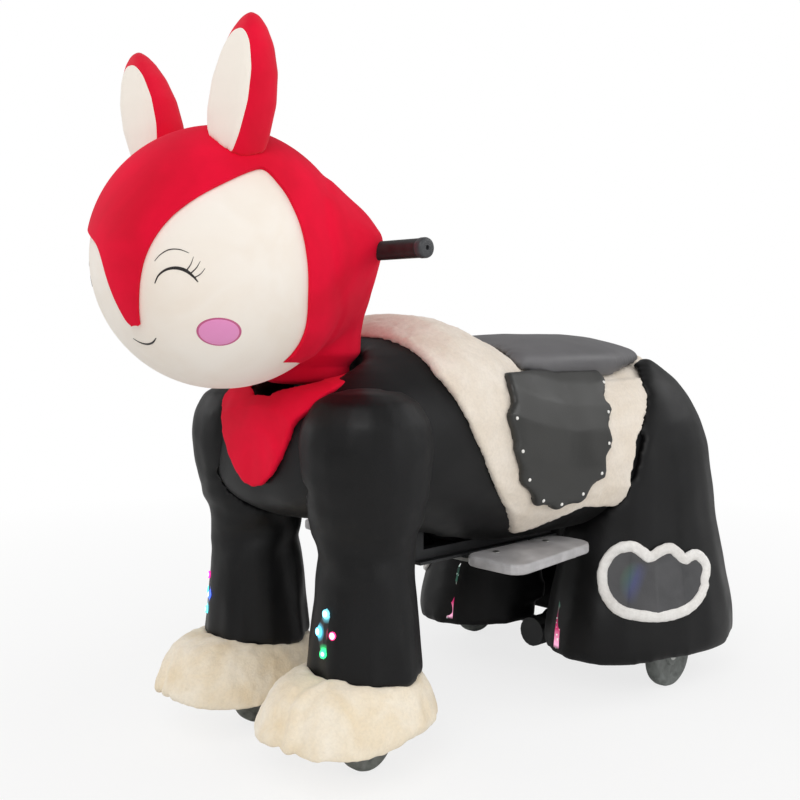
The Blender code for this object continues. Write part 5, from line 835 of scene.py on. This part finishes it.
# the painted rainbow reflection runs back along the toy, slants down, and fades out round its middle
painted_rainbow = ((0.0, "#3F3F41"), (0.18, "#B8466E"), (0.34, "#D9C77E"), (0.5, "#3F9E6A"), (0.68, "#4A56A8"),
           (0.85, "#434347"))
painted_rainbow_front, painted_rainbow_back, painted_rainbow_slant, painted_rainbow_start = 0.195, 0.290, -5.0, 1.19
painted_rainbow_middle = (0.305, 0.244, 0.238)
# painted reflection: rainbow bands mixed into the pad's base colour near its front
painted_rainbow_bands = add_node(tree, "ValToRGB")
for position, colour in painted_rainbow:
    painted_rainbow_bands.color_ramp.elements.new(position).color = linear(colour)
painted_rainbow_bands.color_ramp.elements.remove(painted_rainbow_bands.color_ramp.elements[-1])
parts = add_node(tree, "SeparateXYZ", None, {"Vector": place})
along = add_node(tree, "MapRange",
                 {"From Min": painted_rainbow_front, "From Max": painted_rainbow_back, "To Min": 0.0, "To Max": 0.9},
                 {"Value": parts.outputs["Y"]})
fall = add_node(tree, "Math", {"operation": "MULTIPLY_ADD", 1: painted_rainbow_slant, 2: painted_rainbow_start},
                {0: parts.outputs["Z"]})
slant = add_node(tree, "Math", {"operation": "ADD"}, {0: along.outputs["Result"], 1: fall.outputs[0]})
tree.links.new(slant.outputs[0], painted_rainbow_bands.inputs["Fac"])
patch = add_node(tree, "VectorMath", {"operation": "DISTANCE", 1: painted_rainbow_middle}, {0: place})
fade = add_node(tree, "MapRange", {"From Min": 0.020, "From Max": 0.060, "To Min": 0.8, "To Max": 0.0},
                {"Value": patch.outputs["Value"]})
with_painted_rainbow = add_node(tree, "Mix", {"data_type": "RGBA"},
                   {"Factor": fade.outputs["Result"], 6: tone.outputs["Color"], 7: painted_rainbow_bands.outputs["Color"]})
tree.links.new(with_painted_rainbow.outputs[2], shader.inputs["Base Color"])
for node, side in pair("paw_badge"):
    skin = BVHTree.FromObject(frame["nodes"][node], bpy.context.evaluated_depsgraph_get())
    badge = stuffed_copy(node, node + "_pad", painted_rainbow_leatherette, "carriage", "seat_leatherette",
                         mesh_size=0.003, rounds=4, swell=-0.0005)
    facing = Vector((side * sin(badge_turn), -cos(badge_turn), 0))
    level = Vector((side * cos(badge_turn), sin(badge_turn), 0))
    middle = Vector((side * haunch_middle[0], haunch_middle[1], 0))
    points = points_and_normals(badge)[0]
    pad_middle = (points.min(axis=0) + points.max(axis=0)) / 2
    across_pad = (points - pad_middle) @ np.array(level)
    points -= np.outer(across_pad * pad_narrowed, level)
    points[:, 2] -= (points[:, 2] - pad_middle[2]) * pad_lowered
    set_points(badge, points)
    fine(badge)
    loop = []
    for across, up in badge_shares:
        across, up = 0.5 + (across - 0.5) * trim_across, 0.5 + (up - 0.5) * trim_up
        start = middle + level * (badge_shift + badge_width * (across - 0.5)) + facing * 0.4
        start.z = badge_foot + badge_height * up
        hit = skin.ray_cast(start, -facing)[0]
        loop.append(hit - facing * trim_sunk)
    loop = rounded_loop(loop)
    rope = bpy.data.curves.new("rolled_strip", "CURVE")
    rope.dimensions = "3D"
    rope.bevel_depth = trim_radius
    rope.bevel_resolution = 3
    run = rope.splines.new("POLY")
    run.points.add(len(loop) - 1)
    run.use_cyclic_u = True
    for spot, place in zip(run.points, loop):
        spot.co = (*place, 1)
    bm = curve_mesh(rope)
    bmesh.ops.subdivide_edges(bm, edges=bm.edges, cuts=1, use_grid_fill=True)
    strip = piece_from(bm, node + "_trim", white_fleece, "carriage", "boot_plush")
    points, normals = points_and_normals(strip)
    run_points = np.array(loop)
    nearest = run_points[np.argmin(np.linalg.norm(points[:, None] - run_points[None], axis=2), axis=1)]
    stand = (points - nearest) @ np.array(facing)
    points = points - np.outer(stand * trim_flattened, facing)
    set_points(strip, points + normals * (0.0014 * lumps(points, 0.007, 1.0))[:, None])
    fine(strip)


# Leg lights: four clear lenses over coloured lamps, on a diamond of dark tape round each shin.
# Each lens is white hot in its middle, and a painted glow of its colour fades out over the tape around it.
glow_reach = 0.016


def lamp_glow(name, lamps, power):
    """Dark tape, lit as a lamp at each (place, core, colour) in turn, with a painted glow fading out around
    it.
    """
    made, tree, shader, place, tone = finish(name, "#141416", "#232326", cloud=0.01, grain=0.0015,
                                             relief=0.0001, rough=(0.25, 0.4))
    total = None
    for spot, core, colour in lamps:
        away = add_node(tree, "VectorMath", {"operation": "DISTANCE", 1: spot}, {0: place})
        rings = add_node(tree, "ValToRGB")
        rings.color_ramp.elements.remove(rings.color_ramp.elements[1])
        # the core and coloured ring are the lit lens; the fading outer part of the ramp is painted glow on
        # the tape
        levels = ((0.0, core, 1.0), (0.20, core, 0.9), (0.34, colour, 0.8), (0.68, colour, 0.15),
                  (1.0, colour, 0.0))
        for position, shade, level in levels:
            stop = rings.color_ramp.elements.new(position)
            stop.color = [value * level for value in linear(shade)[:3]] + [1]
        scaled = add_node(tree, "Math", {"operation": "MULTIPLY", 1: 1 / glow_reach},
                          {0: away.outputs["Value"]})
        tree.links.new(scaled.outputs[0], rings.inputs["Fac"])
        if total:
            total = add_node(tree, "VectorMath", {"operation": "ADD"},
                             {0: total, 1: rings.outputs["Color"]}).outputs["Vector"]
        else:
            total = rings.outputs["Color"]
    tree.links.new(total, shader.inputs["Emission Color"])
    shader.inputs["Emission Strength"].default_value = power
    return made


light_height, light_rise, light_reach, light_power, shin_radius = 0.240, 0.031, 0.017, 3.5, 0.0885
diamond = ((0, light_rise), (0, -light_rise), (light_reach, 0), (-light_reach, 0))
lens_colours = {
    "left": (("#F4FFFF", "#7FE9FF"), ("#E9FFE9", "#35F08A"), ("#FFFFFF", "#F0307A"), ("#F2FFFF", "#5CD8FF")),
    "right": (("#FFD0F0", "#FF2FB0"), ("#E0FFFF", "#66E8FF"), ("#E9F4FF", "#4A6BFF"), ("#E8FFFF", "#48E0E8"))}
for name, side, azimuth in (("left", 1, 2), ("right", -1, 32)):
    turn = radians(side * azimuth)
    facing, level = Vector((sin(turn), -cos(turn), 0)), Vector((cos(turn), sin(turn), 0))
    lamps = []
    for (across, up), (core, colour) in zip(diamond, lens_colours[name]):
        place = Vector((side * leg_middle, column_y, light_height + up)) + level * across \
            + facing * (shin_radius ** 2 - across ** 2) ** 0.5
        lamps.append((place, core, colour))
    dress(lamp_glow("lit lenses " + name, lamps, light_power), "leg_lights_" + name)

# Hem strips: a row of small coloured lamps under clear tape, inside each hind leg's hem.
# The row runs from green and white sparks at the top to magenta below.
strip_light, tree, shader, place, tone = finish("clear tape over lamps", "#1A1A1C", "#2C2A2E",
                                                cloud=0.01, grain=0.0015, relief=0.0001, rough=(0.2, 0.3))
parts = add_node(tree, "SeparateXYZ", None, {"Vector": place})
strip_foot, strip_top, strip_power = 0.092, 0.207, 1.2
height = add_node(tree, "MapRange", {"From Min": strip_foot, "From Max": strip_top},
                  {"Value": parts.outputs["Z"]})
run = add_node(tree, "ValToRGB", None, {"Fac": height.outputs["Result"]})
strip_colours = ((0.06, "#F7A8CC"), (0.32, "#B01458"), (0.55, "#5A1030"), (0.7, "#20483A"), (0.95, "#12241E"))
for position, colour in strip_colours:
    run.color_ramp.elements.new(position).color = linear(colour)
sparks = add_node(tree, "TexVoronoi", {"Scale": 1 / 0.008}, {"Vector": place})
spark = add_node(tree, "MapRange", {"From Min": 0.12, "From Max": 0.30, "To Min": 1.0, "To Max": 0.0},
                 {"Value": sparks.outputs["Distance"]})
lit = add_node(tree, "Mix", {"data_type": "RGBA", 7: linear("#DFFFF0")},
               {"Factor": spark.outputs["Result"], 6: run.outputs["Color"]})
tree.links.new(lit.outputs[2], shader.inputs["Emission Color"])
shader.inputs["Emission Strength"].default_value = strip_power
dress(strip_light, "light_strip_left", "light_strip_right")
